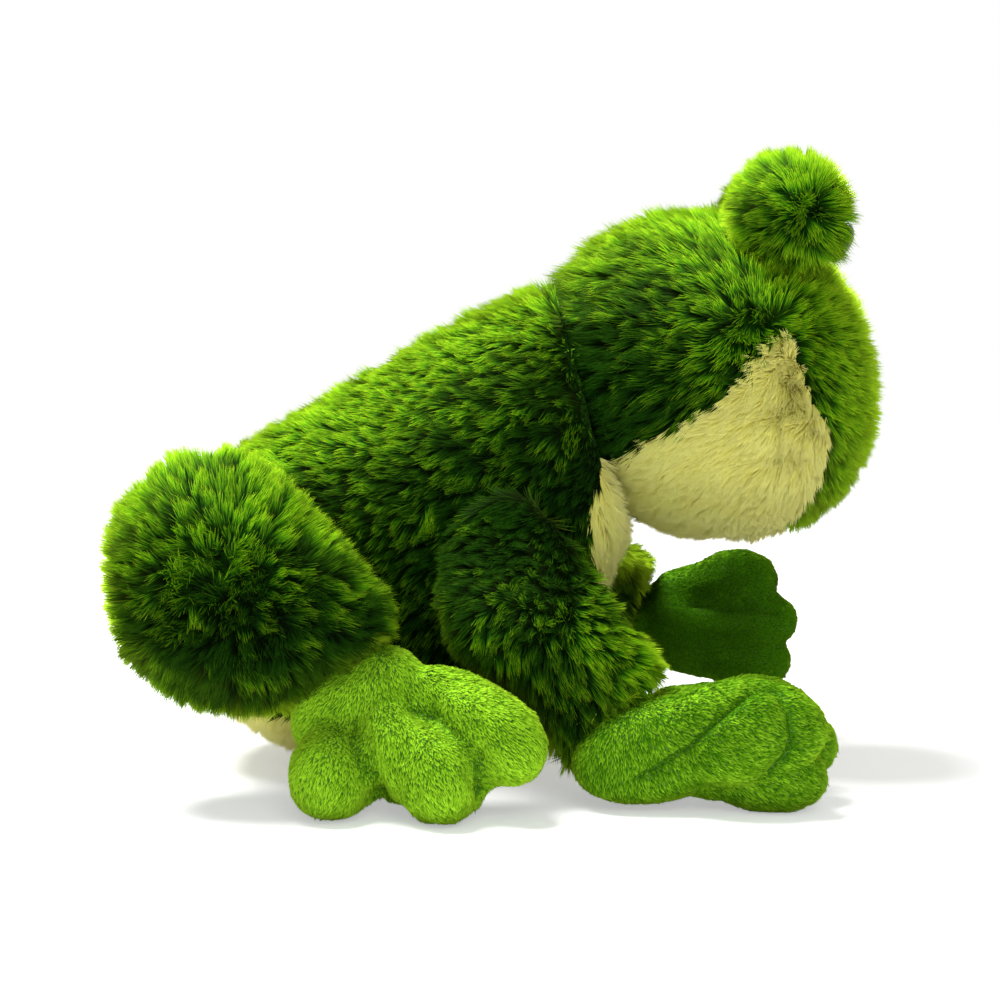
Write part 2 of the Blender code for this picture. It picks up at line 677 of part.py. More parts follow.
def build_eye_bump(side, name):
    """A sewn bump on the crown, with its fibre and a plastic eye held by a washer inside the cloth."""
    forward, lift = BUMP_PLACE_SHARES
    bump_at = HEAD_AT + Vector((forward * HEAD_RADIUS, side * BUMP_SPACING / 2, lift * HEAD_RADIUS))
    look = Vector(EYE_DIRECTION).normalized()
    frame = Matrix.Translation(bump_at) @ look.to_track_quat("Z", "Y").to_matrix().to_4x4()
    under = head_cage("head under bump " + name)
    shrink(under, -SEAM_GAP * 2)
    inner_radius = BUMP_RADIUS - FABRIC
    washer_face = math.sqrt((inner_radius - SEAM_GAP * 2) ** 2 - WASHER_RADIUS**2) - SEAM_GAP * 2
    shank_end = BUMP_RADIUS + SEAM_GAP - SHANK_LENGTH
    hole_radius = SHANK_RADIUS + SEAM_GAP * 2

    skin_form = ball("bump " + name, bump_at, BUMP_RADIUS, BUMP_SEGMENTS, BUMP_RINGS)
    skin = as_piece(skin_form, "eye_bump_skin_" + name)
    make_shell(skin)
    hole = pin("eye hole " + name, hole_radius, shank_end, BUMP_RADIUS * 2, frame)
    cut_with(skin, under)
    cut_with(skin, hole)
    finish_piece(skin, LEAF_PLUSH, head)

    fibre_radius = inner_radius - FILLING_GAP
    filling_form = ball("bump filling " + name, bump_at, fibre_radius, BUMP_SEGMENTS, BUMP_RINGS)
    filling = as_piece(filling_form, "eye_bump_filling_" + name)
    room_radius = WASHER_RADIUS + SEAM_GAP * 2
    room_floor = washer_face - WASHER_THICKNESS - SEAM_GAP
    washer_room = pin("washer room " + name, room_radius, room_floor, BUMP_RADIUS * 2, frame)
    shank_room = pin("shank room " + name, hole_radius, shank_end - SEAM_GAP, BUMP_RADIUS, frame)
    cut_with(filling, under)
    cut_with(filling, washer_room)
    cut_with(filling, shank_room)
    finish_piece(filling, FILLING_WHITE, head)

    washer = turned_ring("eye_washer_" + name, hole_radius, WASHER_RADIUS, WASHER_THICKNESS)
    washer.data.transform(Matrix.Translation((0.0, 0.0, washer_face)))
    finish_turned(washer, WASHER_WHITE, frame)

    dome_bottom = BUMP_RADIUS + SEAM_GAP
    shank = pin("eye " + name, SHANK_RADIUS, shank_end, dome_bottom + EYE_DOME / 2, frame)
    eye = as_piece(shank, "eye_" + name)
    half_dome = Vector((EYE_DOME, EYE_RADIUS, EYE_RADIUS))
    look_axes = frame.to_3x3() @ Matrix(((0, 1, 0), (0, 0, 1), (1, 0, 0)))
    dome_mesh = lobe_mesh(frame @ Vector((0.0, 0.0, dome_bottom)), half_dome, look_axes)
    dome = object_from(dome_mesh, "eye dome " + name)
    below = pin("eye base " + name, EYE_RADIUS * 2, dome_bottom - EYE_DOME * 2, dome_bottom, frame)
    cut_with(dome, below)
    cut_with(eye, dome, "UNION")
    finish_piece(eye, EYE_BLACK, head)


def finish_turned(piece, finish, frame):
    """A turned piece keeps its own axis, so it is placed by its rotation and not by its mesh."""
    piece.data.materials.append(material(piece.name + " material", *finish))
    piece.matrix_local = Matrix.Translation(-HEAD_AT) @ frame
    piece.parent = head["empty"]


def build_arm(side, name, swing, spread, hand_frame, seat_share, mitre_share):
    """A sleeve of long plush, sewn flat to the torso's side, with the hand's wrist in its open end."""
    arm_middle = LIMB_PLANE + ARM_HALF_THICKNESS * seat_share
    root = shoulder + TO_ORIGIN + Vector((0.0, side * arm_middle, 0.0))
    lean = Matrix.Rotation(math.radians(-swing), 3, "Y")
    turn = lean @ Matrix.Rotation(math.radians(spread) * side, 3, "X")
    down = turn @ Vector((0.0, 0.0, -1.0))
    front = turn @ Vector((1.0, 0.0, 0.0))
    out = turn @ Vector((0.0, 1.0, 0.0))
    wrist = root + down * ARM_LENGTH
    rings = []
    for along, rear, fore, thickness in ARM_RING_SHARES:
        middle = root + down * along * ARM_LENGTH + front * (rear + fore) / 2 * ARM_HALF_WIDTH
        half_width = front * (fore - rear) / 2 * ARM_HALF_WIDTH
        rings.append((middle, half_width, out * thickness * ARM_HALF_THICKNESS))
    body = new_body("arm " + name, Vector((root.x, side * LIMB_PLANE, root.z)), torso)
    wrist_room = socket_ball("wrist room " + name, wrist, WRIST_RADIUS + SEAM_GAP)
    fingers = hand_frame @ Vector((1.0, 0.0, 0.0))
    towards_hand = (down + fingers * mitre_share).normalized()
    hand_side = half_space("hand side " + name, wrist, towards_hand, -SLEEVE_SETBACK)
    skin_form = soft_loft("arm " + name, rings, LIMB_SIDES, ARM_SQUARENESS)
    skin = as_piece(skin_form, "arm_skin_" + name)
    make_shell(skin)
    filling_form = soft_loft("arm filling " + name, rings, LIMB_SIDES, ARM_SQUARENESS)
    filling = as_piece(filling_form, "arm_filling_" + name)
    shrink(filling, FABRIC + FILLING_GAP)
    for piece in (skin, filling):
        cut_with(piece, SLAB)
        cut_with(piece, hand_side)
        cut_with(piece, wrist_room)
    finish_piece(skin, LEAF_PLUSH, body)
    finish_piece(filling, FILLING_WHITE, body)
    build_lobed("hand", name, wrist, hand_lobes, hand_frame, -down, WRIST_RADIUS, body)


def joined_lobes(name, joint, lobes, segments, rings):
    """The lobes of a hand or foot as one form about their joint."""
    made = None
    for number, (centre, half, axes) in enumerate(lobes):
        bm = lobe_mesh(joint + centre, half, axes, segments, rings, number * FACET_TURN)
        one = object_from(bm, f"{name} {number}")
        if made:
            cut_with(made, one, "UNION")
        made = made or one
    return made


def build_lobed(kind, name, joint, lobes, frame, opening_direction, root_radius, parent):
    """A hand or foot of short plush: a skin with sewn lobes, open where it is sewn on, and its fibre."""
    body = new_body(f"{kind} {name}", joint, parent)
    outer_facets = (LOBE_SEGMENTS, LOBE_RINGS)
    inner_facets = (INNER_LOBE_SEGMENTS, INNER_LOBE_RINGS)
    fibre_inset = FABRIC + FILLING_GAP
    outside = joined_lobes(f"{kind} {name}", joint, lobes(frame), *outer_facets)
    inside = joined_lobes(f"{kind} inside {name}", joint, lobes(frame, FABRIC), *inner_facets)
    fibre = joined_lobes(f"{kind} fibre {name}", joint, lobes(frame, fibre_inset), *inner_facets)
    aim = Matrix.Translation(joint) @ opening_direction.to_track_quat("Z", "Y").to_matrix().to_4x4()
    opening_radius = (root_radius - FABRIC) * OPENING_SHARE
    opening = pin(f"{kind} opening {name}", opening_radius, 0.0, root_radius * 2, aim)
    skin = as_piece(outside, f"{kind}_skin_{name}")
    cut_with(skin, inside)
    cut_with(skin, opening)
    cut_with(skin, FLOOR)
    filling = as_piece(fibre, f"{kind}_filling_{name}")
    finish_piece(skin, MINKY, body)
    finish_piece(filling, FILLING_WHITE, body)


def build_leg(side, name):
    """A thigh of long plush, sewn flat to the torso's side, with the foot's ankle in its underside."""
    root = Vector((hip_x, side * thigh_middle, hip_height)) + TO_ORIGIN
    forward = ankle_forward_share * THIGH_LENGTH
    ankle = Vector((root.x + forward, side * ankle_out, ankle_height))
    rings = []
    for top_x, top_z, bottom_x, bottom_z, thickness in THIGH_RING_SHARES:
        top = root + Vector((top_x * THIGH_LENGTH, 0.0, top_z * THIGH_HEIGHT))
        bottom = root + Vector((bottom_x * THIGH_LENGTH, 0.0, bottom_z * THIGH_HEIGHT))
        half_width = Vector((0.0, thickness * THIGH_HALF_THICKNESS, 0.0))
        rings.append(((top + bottom) / 2, (top - bottom) / 2, half_width))
    body = new_body("thigh " + name, Vector((root.x, side * LIMB_PLANE, root.z)), torso)
    ankle_room = socket_ball("ankle room " + name, ankle, ANKLE_RADIUS + SEAM_GAP)
    skin_form = soft_loft("thigh " + name, rings, LIMB_SIDES, THIGH_SQUARENESS)
    skin = as_piece(skin_form, "thigh_skin_" + name)
    make_shell(skin)
    filling_form = soft_loft("thigh filling " + name, rings, LIMB_SIDES, THIGH_SQUARENESS)
    filling = as_piece(filling_form, "thigh_filling_" + name)
    shrink(filling, FABRIC + FILLING_GAP)
    for piece in (skin, filling):
        cut_with(piece, SLAB)
        cut_with(piece, ankle_room)
    finish_piece(skin, LEAF_PLUSH, body)
    finish_piece(filling, FILLING_WHITE, body)
    up_into_thigh = (root - ankle).normalized()
    build_lobed("foot", name, ankle, foot_lobes, side, up_into_thigh, ANKLE_RADIUS, body)


build_torso()
build_neck_thread()
build_head()
for side, name in ((-1, "right"), (1, "left")):
    build_eye_bump(side, name)
    build_leg(side, name)
right_shares = (RIGHT_ARM_SEAT_SHARE, RIGHT_SLEEVE_MITRE_SHARE)
left_shares = (LEFT_ARM_SEAT_SHARE, LEFT_SLEEVE_MITRE_SHARE)
build_arm(-1, "right", RIGHT_ARM_SWING, RIGHT_ARM_SPREAD, right_hand_axes, *right_shares)
build_arm(1, "left", LEFT_ARM_SWING, LEFT_ARM_SPREAD, left_hand_axes, *left_shares)
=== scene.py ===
import json
import math

import bmesh
import bpy
import numpy as np
from mathutils import Matrix, Vector
from mathutils.bvhtree import BVHTree


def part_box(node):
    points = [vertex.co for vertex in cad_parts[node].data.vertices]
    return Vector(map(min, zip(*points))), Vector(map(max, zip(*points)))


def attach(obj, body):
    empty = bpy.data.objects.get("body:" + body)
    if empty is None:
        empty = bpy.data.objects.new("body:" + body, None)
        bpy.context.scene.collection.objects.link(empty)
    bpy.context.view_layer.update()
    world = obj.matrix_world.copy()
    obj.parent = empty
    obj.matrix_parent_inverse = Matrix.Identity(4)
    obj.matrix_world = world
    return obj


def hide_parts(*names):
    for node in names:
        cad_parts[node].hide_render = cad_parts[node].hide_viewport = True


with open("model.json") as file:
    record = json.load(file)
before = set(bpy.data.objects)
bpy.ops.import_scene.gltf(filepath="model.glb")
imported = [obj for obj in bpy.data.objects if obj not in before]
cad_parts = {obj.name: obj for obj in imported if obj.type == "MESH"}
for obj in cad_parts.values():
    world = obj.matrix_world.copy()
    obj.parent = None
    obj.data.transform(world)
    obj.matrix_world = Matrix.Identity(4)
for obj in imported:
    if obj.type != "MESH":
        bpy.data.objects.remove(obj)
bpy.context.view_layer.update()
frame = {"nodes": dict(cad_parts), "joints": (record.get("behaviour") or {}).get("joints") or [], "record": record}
nodes = frame["nodes"]
joints = {joint["name"]: joint for joint in frame["joints"]}
scene = bpy.context.scene

# The table top and the studio.
# A wide pale board stands for the table, with plain white light from all round, a large soft lamp above
# and behind the frog's back, and a weaker one beside the camera.
TABLE_REACH = 6.0
TABLE_PALE = (0.86, 0.86, 0.85, 1.0)
TABLE_GLOW_NEAR = 0.42
TABLE_GLOW_FAR = 0.72
GLOW_NEAR_REACH = 0.25
GLOW_FAR_REACH = 1.1
PURE_WHITE = (1.0, 1.0, 1.0, 1.0)
ROOM_LIGHT = 0.38
OVERHEAD_PLACE = (-0.40, 0.0, 1.25)
OVERHEAD_AIM = (0.0, 0.0, 0.08)
OVERHEAD_SIZE = 0.7
OVERHEAD_WATTS = 37.0
SIDE_LAMP_PLACE = (0.3, -1.5, 0.9)
SIDE_LAMP_AIM = (0.0, 0.0, 0.1)
SIDE_LAMP_SIZE = 0.9
SIDE_LAMP_WATTS = 6.5
CAMERA_LENS = 72.0
CAMERA_SENSOR = 36.0
CAMERA_DISTANCE = 0.730
CAMERA_HEIGHT = 0.140
CAMERA_TURN = math.radians(2.0)
CAMERA_DIP = math.radians(3.43)
CAMERA_AIM_X = -0.005


def node_in(tree, kind, values=(), **settings):
    """Adds a node with its settings, and gives its sockets, in order or by name, their values or links."""
    made = tree.nodes.new(kind)
    for name, setting in settings.items():
        setattr(made, name, setting)
    for socket, value in values.items() if isinstance(values, dict) else enumerate(values):
        if hasattr(value, "is_output"):
            tree.links.new(value, made.inputs[socket])
        else:
            made.inputs[socket].default_value = value
    return made


def finish_of(name, roughness):
    """A new material, its tree and its shader, with no metal in it."""
    made = bpy.data.materials.new(name)
    made.use_nodes = True
    shader = made.node_tree.nodes["Principled BSDF"]
    shader.inputs["Roughness"].default_value = roughness
    return made, made.node_tree, shader


def shown_only(tree, level):
    """A glow that only the camera, reflections and clear plastic see, so that shadows stay."""
    path = node_in(tree, "ShaderNodeLightPath").outputs
    rays = (path["Is Camera Ray"], path["Is Glossy Ray"])
    seen = node_in(tree, "ShaderNodeMath", rays, operation="MAXIMUM")
    rays = (seen.outputs[0], path["Is Transmission Ray"])
    seen = node_in(tree, "ShaderNodeMath", rays, operation="MAXIMUM")
    return node_in(tree, "ShaderNodeMath", (seen.outputs[0], level), operation="MULTIPLY").outputs[0]


def in_scene(name, data):
    """A new object of the scene."""
    made = bpy.data.objects.new(name, data)
    scene.collection.objects.link(made)
    return made


def mesh_of(name, bm):
    """A mesh made from a bmesh, which is freed."""
    made = bpy.data.meshes.new(name)
    bm.to_mesh(made)
    bm.free()
    return made


table_bm = bmesh.new()
bmesh.ops.create_grid(table_bm, x_segments=1, y_segments=1, size=TABLE_REACH)
table_top = in_scene("table_top", mesh_of("table top", table_bm))
table_paint, table_tree, table_shader = finish_of("pale table top", 0.9)
table_shader.inputs["Base Color"].default_value = TABLE_PALE
table_shader.inputs["Emission Color"].default_value = PURE_WHITE
table_place = node_in(table_tree, "ShaderNodeTexCoord").outputs["Object"]
table_middle = node_in(table_tree, "ShaderNodeVectorMath", (table_place,), operation="LENGTH")
table_fade = node_in(
    table_tree,
    "ShaderNodeMapRange",
    {
        "Value": table_middle.outputs["Value"],
        "From Min": GLOW_NEAR_REACH,
        "From Max": GLOW_FAR_REACH,
        "To Min": TABLE_GLOW_NEAR,
        "To Max": TABLE_GLOW_FAR,
    },
)
table_glow = shown_only(table_tree, table_fade.outputs["Result"])
table_tree.links.new(table_glow, table_shader.inputs["Emission Strength"])
table_top.data.materials.append(table_paint)

room = bpy.data.worlds.new("white room")
scene.world = room
room.use_nodes = True
room_shader = room.node_tree.nodes["Background"]
room_shader.inputs["Color"].default_value = PURE_WHITE
room_glow = shown_only(room.node_tree, 1.0 - ROOM_LIGHT)
room_level = node_in(room.node_tree, "ShaderNodeMath", (room_glow, ROOM_LIGHT), operation="ADD")
room.node_tree.links.new(room_level.outputs[0], room_shader.inputs["Strength"])


def soft_lamp(name, place, aim, size, watts):
    light = bpy.data.lights.new(name, "AREA")
    light.shape = "DISK"
    light.size = size
    light.energy = watts
    lamp = in_scene(name, light)
    lamp.location = place
    lamp.rotation_euler = (Vector(aim) - Vector(place)).to_track_quat("-Z", "Y").to_euler()


soft_lamp("overhead lamp", OVERHEAD_PLACE, OVERHEAD_AIM, OVERHEAD_SIZE, OVERHEAD_WATTS)
soft_lamp("camera side lamp", SIDE_LAMP_PLACE, SIDE_LAMP_AIM, SIDE_LAMP_SIZE, SIDE_LAMP_WATTS)

camera_data = bpy.data.cameras.new("camera")
camera_data.lens = CAMERA_LENS
camera_data.sensor_width = CAMERA_SENSOR
camera = in_scene("camera", camera_data)
camera.location = (
    CAMERA_AIM_X + CAMERA_DISTANCE * math.sin(CAMERA_TURN),
    -CAMERA_DISTANCE * math.cos(CAMERA_TURN),
    CAMERA_HEIGHT,
)
camera.rotation_euler = (math.pi / 2 - CAMERA_DIP, 0.0, CAMERA_TURN)
scene.camera = camera
scene.view_settings.view_transform = "Standard"

# The fibre that stuffs the frog.
# Loose white polyester fibre is blown into each sewn skin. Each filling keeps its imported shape, a little
# lumpy where the tufts of fibre lie against each other.
FIBRE_WHITE = (0.84, 0.84, 0.82, 1.0)
FIBRE_SHADE = (0.62, 0.62, 0.60, 1.0)
FIBRE_GRAIN = 420.0
FIBRE_VOXEL = 0.003
FIBRE_LUMP = 0.0016
FIBRE_LUMP_SIZE = 0.009
FIBRE_SETTLE = 0.0030
FIBRE_FLOOR = 0.004
MERGE_REACH = 0.00001
TORSO_SIDE = 0.0550
SEWN_FLAT_LOW = 0.050
SEWN_FLAT_HIGH = 0.094
SEWN_FLAT_SHARE = 0.80


def made_plain(form):
    """Applies an object's modifiers to its mesh."""
    graph = bpy.context.evaluated_depsgraph_get()
    mesh = bpy.data.meshes.new_from_object(form.evaluated_get(graph))
    old = form.data
    form.modifiers.clear()
    form.data = mesh
    bpy.data.meshes.remove(old)
    mesh.name = form.name
    return form


def closed_form(name, sources, voxel, passes, fuller=()):
    """One closed mesh round the named solids and some fuller lobes, with its facets evened out."""
    bm = bmesh.new()
    for source in sources:
        bm.from_mesh(nodes[source].data)
    bmesh.ops.remove_doubles(bm, verts=bm.verts, dist=MERGE_REACH)
    for centre, half, dip in fuller:
        lobe = Matrix.Translation(centre) @ Matrix.Rotation(math.radians(dip), 4, "Y")
        lobe = lobe @ Matrix.Diagonal((*half, 1.0))
        bmesh.ops.create_icosphere(bm, subdivisions=4, radius=1.0, matrix=lobe)
    form = in_scene(name, mesh_of(name, bm))
    remesh = form.modifiers.new("one skin", "REMESH")
    remesh.mode = "VOXEL"
    remesh.voxel_size = voxel
    even = form.modifiers.new("even out", "SMOOTH")
    even.factor = 0.5
    even.iterations = passes
    return made_plain(form)


def rows_of(items, field):
    """One vector of each item, as rows."""
    values = np.empty(len(items) * 3, np.float32)
    items.foreach_get(field, values)
    return values.reshape(-1, 3)


def points_of(mesh):
    return rows_of(mesh.vertices, "co")


def normals_of(mesh):
    return rows_of(mesh.vertex_normals, "vector")


def move_points(mesh, points):
    mesh.vertices.foreach_set("co", np.ascontiguousarray(points, np.float32).ravel())
    mesh.update()


def pressed(form, texture, strength):
    """Presses a form in or out by a texture on its own coordinates."""
    press = form.modifiers.new("pressed", "DISPLACE")
    press.texture = texture
    press.texture_coords = "LOCAL"
    press.strength = strength
    press.mid_level = 0.0
    return made_plain(form)


def flattened_top(points, side):
    """An arm's points with its upper end thinned towards the torso, as it is where it is sewn flat."""
    share = np.clip((points[:, 2] - SEWN_FLAT_LOW) / (SEWN_FLAT_HIGH - SEWN_FLAT_LOW), 0.0, 1.0)
    share = share * share * (3.0 - 2.0 * share)
    inner = side * TORSO_SIDE
    points[:, 1] = inner + (points[:, 1] - inner) * (1.0 - SEWN_FLAT_SHARE * share)
    return points


def ramp_in(tree, level, stops):
    """The colours that a level runs through, each given with its place."""
    made = node_in(tree, "ShaderNodeValToRGB", (level,))
    elements = made.color_ramp.elements
    for _ in stops[2:]:
        elements.new(0.5)
    for element, (position, colour) in zip(elements, stops):
        element.position = position
        element.color = colour
    return made.outputs["Color"]


def coloured_noise(tree, shader, low, high, scale, detail=3.0, bump=0.0, depth=0.0003):
    """Two colours that a noise on the object's own coordinates shares out, and a bump from the noise."""
    place = node_in(tree, "ShaderNodeTexCoord").outputs["Object"]
    noise = node_in(tree, "ShaderNodeTexNoise", {"Vector": place, "Scale": scale, "Detail": detail})
    colour = ramp_in(tree, noise.outputs["Fac"], ((0.35, low), (0.65, high)))
    tree.links.new(colour, shader.inputs["Base Color"])
    if bump:
        height = {"Strength": bump, "Distance": depth, "Height": noise.outputs["Fac"]}
        relief = node_in(tree, "ShaderNodeBump", height)
        tree.links.new(relief.outputs["Normal"], shader.inputs["Normal"])


fibre, fibre_tree, fibre_shader = finish_of("polyester fibre", 1.0)
coloured_noise(fibre_tree, fibre_shader, FIBRE_SHADE, FIBRE_WHITE, FIBRE_GRAIN, 6.0, 0.8, 0.0006)

node_body = {name: body for body, names in frame["record"]["behaviour"]["bodies"].items() for name in names}
lump_texture = bpy.data.textures.new("fibre lumps", "CLOUDS")
lump_texture.noise_scale = FIBRE_LUMP_SIZE
for filling_node in sorted(name for name in nodes if "filling" in name):
    stuffing = closed_form(filling_node.replace("filling", "fibre"), [filling_node], FIBRE_VOXEL, 2)
    pressed(stuffing, lump_texture, -FIBRE_LUMP)
    settled = points_of(stuffing.data) - normals_of(stuffing.data) * FIBRE_SETTLE
    settled[:, 2] = np.maximum(settled[:, 2], FIBRE_FLOOR)
    if filling_node.startswith("arm"):
        settled = flattened_top(settled, -1.0 if filling_node.endswith("right") else 1.0)
    move_points(stuffing.data, settled)
    stuffing.data.materials.clear()
    stuffing.data.materials.append(fibre)
    stuffing.data.shade_smooth()
    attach(stuffing, node_body[filling_node])
    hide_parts(filling_node)

# The pellet bag.
# A small bag of plain woven cloth, filled with plastic pellets and closed, lies loose in the fibre of the
# seat and weights it. The pellets press through the thin cloth as small round bumps.
BAG_PALE = (0.62, 0.57, 0.46, 1.0)
BAG_THREAD_DARK = (0.40, 0.36, 0.27, 1.0)
BAG_VOXEL = 0.0015
PELLET_PITCH = 0.0042
PELLET_RISE = 0.0007
WEAVE_PITCH = 0.0008

bag = closed_form("pellet_bag_cloth", ["pellet_bag"], BAG_VOXEL, 4)
pellets = bpy.data.textures.new("pellets", "VORONOI")
pellets.noise_scale = PELLET_PITCH
pressed(bag, pellets, -PELLET_RISE)
bag_cloth, bag_tree, bag_shader = finish_of("woven bag cloth", 0.9)
bag_place = node_in(bag_tree, "ShaderNodeTexCoord").outputs["Object"]
bag_yarns = {"Vector": bag_place, "Scale": 1.0 / WEAVE_PITCH, "Color1": BAG_PALE, "Color2": BAG_THREAD_DARK}
bag_weave = node_in(bag_tree, "ShaderNodeTexChecker", bag_yarns)
bag_tree.links.new(bag_weave.outputs["Color"], bag_shader.inputs["Base Color"])
bag.data.materials.clear()
bag.data.materials.append(bag_cloth)
bag.data.shade_smooth()
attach(bag, "torso")
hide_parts("pellet_bag")

# The torso's cloth.
# Two panels of knitted backing, green along the back and flanks and cream down the chest and belly, are
# sewn to each other inside out, turned and stuffed, so the cloth swells between its seams.
TORSO_VOXEL = 0.004
CLOTH_INSET = 0.0022
BACK_INSET = 0.0042
CLOTH_FLOOR = 0.0004
NECK_HELD = 0.062
PUFF_LIMIT = 0.003
PUFF_PRESSURE = 4.0
PUFF_FRAMES = 20
PUFF_FLOOR = 0.0012
CLOTH_THICKNESS = 0.0009
KNIT_GRAIN = 900.0
# The green backing is partly its own dark green and partly painted shade, so that where it shows through thin pile
# it reads as the shade deep in the pile.
BACKING_GREEN = (0.004, 0.018, 0.001, 1.0)
BACKING_GREEN_LIGHT = (0.009, 0.036, 0.002, 1.0)
BACKING_CREAM = (0.55, 0.50, 0.17, 1.0)
BACKING_CREAM_LIGHT = (0.70, 0.66, 0.28, 1.0)


def tree_of(*names):
    """A search tree over the faces of some CAD nodes."""
    bm = bmesh.new()
    for name in names:
        bm.from_mesh(nodes[name].data)
    found = BVHTree.FromBMesh(bm)
    bm.free()
    return found


def hollows_of(mesh, points, normals):
    """How far each point's neighbours stand above it, as a share of their reach."""
    edges = np.empty(len(mesh.edges) * 2, np.int32)
    mesh.edges.foreach_get("vertices", edges)
    first, second = edges.reshape(-1, 2).T
    total = np.zeros_like(points)
    count = np.zeros(len(points))
    reach = np.zeros(len(points))
    for a, b in ((first, second), (second, first)):
        step = points[b] - points[a]
        np.add.at(total, a, step)
        np.add.at(count, a, 1.0)
        np.add.at(reach, a, np.linalg.norm(step, axis=1))
    mean = total / count[:, None]
    return np.einsum("ij,ij->i", mean, normals) / (reach / count)


def puff(form, limit, crease=0.12, held_at=None, held_reach=0.0):
    """Swells the cloth against its fibre, up to a limit, held in its sewn creases and round one place."""
    mesh = form.data
    points = points_of(mesh)
    normals = normals_of(mesh)
    move_points(mesh, points - normals * limit * 0.5)
    start = points_of(mesh)
    held = (hollows_of(mesh, start, normals) > crease) | (start[:, 2] < PUFF_FLOOR)
    if held_at is not None:
        held |= np.linalg.norm(start - held_at, axis=1) < held_reach
    sewn = form.vertex_groups.new(name="sewn")
    sewn.add([int(i) for i in np.nonzero(held)[0]], 1.0, "REPLACE")
    cloth = form.modifiers.new("stuffed", "CLOTH")
    cloth.settings.quality = 5
    cloth.settings.mass = 0.3
    cloth.settings.tension_stiffness = 15.0
    cloth.settings.compression_stiffness = 15.0
    cloth.settings.bending_stiffness = 0.5
    cloth.settings.use_pressure = True
    cloth.settings.uniform_pressure_force = PUFF_PRESSURE
    cloth.settings.vertex_group_mass = "sewn"
    cloth.settings.effector_weights.gravity = 0.0
    cloth.point_cache.frame_start = 1
    cloth.point_cache.frame_end = PUFF_FRAMES
    for number in range(1, PUFF_FRAMES + 1):
        scene.frame_set(number)
    graph = bpy.context.evaluated_depsgraph_get()
    puffed = points_of(form.evaluated_get(graph).data)
    form.modifiers.remove(cloth)
    form.vertex_groups.clear()
    scene.frame_set(1)
    step = puffed - start
    far = np.linalg.norm(step, axis=1)
    step *= np.minimum(1.0, limit / np.maximum(far, 1e-9))[:, None]
    short = limit * 0.5 - float(np.einsum("ij,ij->i", step, normals).mean())
    move_points(mesh, start + step + normals * short)


def facing(normals, direction, sharpness=1.0):
    """How squarely each normal faces a direction, from 0 to 1."""
    return np.clip(normals @ np.array(direction), 0.0, 1.0) ** sharpness


def sink(form, depth):
    """Lowers the cloth under its CAD skin, by one depth or one each, and keeps it off the floor."""
    lowered = points_of(form.data) - normals_of(form.data) * np.reshape(depth, (-1, 1))
    lowered[:, 2] = np.maximum(lowered[:, 2], CLOTH_FLOOR)
    move_points(form.data, lowered)


def split_panel(form, name, own, other):
    """The faces of a form that lie nearer to its own CAD panel than to the other, as one cloth."""
    near_own, near_other = tree_of(own), tree_of(other)
    bm = bmesh.new()
    bm.from_mesh(form.data)
    away = []
    for face in bm.faces:
        middle = face.calc_center_median()
        if near_own.find_nearest(middle)[3] > near_other.find_nearest(middle)[3]:
            away.append(face)
    bmesh.ops.delete(bm, geom=away, context="FACES")
    return in_scene(name, mesh_of(name, bm))


def finish_cloth(panel, material, body, replaced):
    """Gives a panel its thickness and its finish, and lets it stand for its CAD node."""
    wall = panel.modifiers.new("cloth", "SOLIDIFY")
    wall.thickness = CLOTH_THICKNESS
    wall.offset = -1.0
    made_plain(panel)
    panel.data.materials.clear()
    panel.data.materials.append(material)
    panel.data.shade_smooth()
    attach(panel, body)
    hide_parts(replaced)


green_backing, green_tree, green_shader = finish_of("green knitted backing", 0.95)
green_shader.inputs["Specular IOR Level"].default_value = 0.05
coloured_noise(green_tree, green_shader, BACKING_GREEN, BACKING_GREEN_LIGHT, KNIT_GRAIN, 2.0, 0.5)
cream_backing, cream_tree, cream_shader = finish_of("cream knitted backing", 0.95)
coloured_noise(cream_tree, cream_shader, BACKING_CREAM, BACKING_CREAM_LIGHT, KNIT_GRAIN, 2.0, 0.5)

neck_at = np.array(joints["neck_twist"]["pos_m"])
neck_axis = np.array(joints["neck_twist"]["axis"])
torso_nodes = ["torso_back_panel", "torso_belly_panel", "torso_filling"]
torso_form = closed_form("torso_form", torso_nodes, TORSO_VOXEL, 8)
puff(torso_form, PUFF_LIMIT, held_at=neck_at, held_reach=NECK_HELD)
back_share = facing(normals_of(torso_form.data), (0.0, 0.0, 1.0))
sink(torso_form, CLOTH_INSET + (BACK_INSET - CLOTH_INSET) * back_share)
torso_back = split_panel(torso_form, "torso_back_cloth", "torso_back_panel", "torso_belly_panel")
torso_belly = split_panel(torso_form, "torso_belly_cloth", "torso_belly_panel", "torso_back_panel")

# The torso's pile.
# Long soft fibres stand in the knitted backing, brushed down and towards the rump, and draw together into
# small tufts. Each strand is a thin closed spike, dark at its root and pale at its tip; the dark root is
# partly its dye and partly painted shade deep in the pile.
LEAF_ROOT = (0.003, 0.018, 0.001, 1.0)
LEAF_LOW = (0.007, 0.060, 0.002, 1.0)
LEAF_MIDDLE = (0.105, 0.330, 0.003, 1.0)
LEAF_TIP = (0.520, 0.810, 0.016, 1.0)
LEAF_SHADE = (0.04, 0.10, 0.20, 1.0)
LEAF_SHEEN = (0.62, 0.95, 0.03, 1.0)
CREAM_ROOT = (0.92, 0.84, 0.15, 1.0)
CREAM_LOW = (0.95, 0.90, 0.18, 1.0)
CREAM_MIDDLE = (0.98, 0.95, 0.24, 1.0)
CREAM_TIP = (1.00, 0.99, 0.38, 1.0)
CREAM_SHADE = (0.84, 0.78, 0.48, 1.0)
CREAM_SHEEN = (1.00, 0.96, 0.36, 1.0)
SOFT_SHADING = 0.75
SIDES = ((-1.0, "right"), (1.0, "left"))
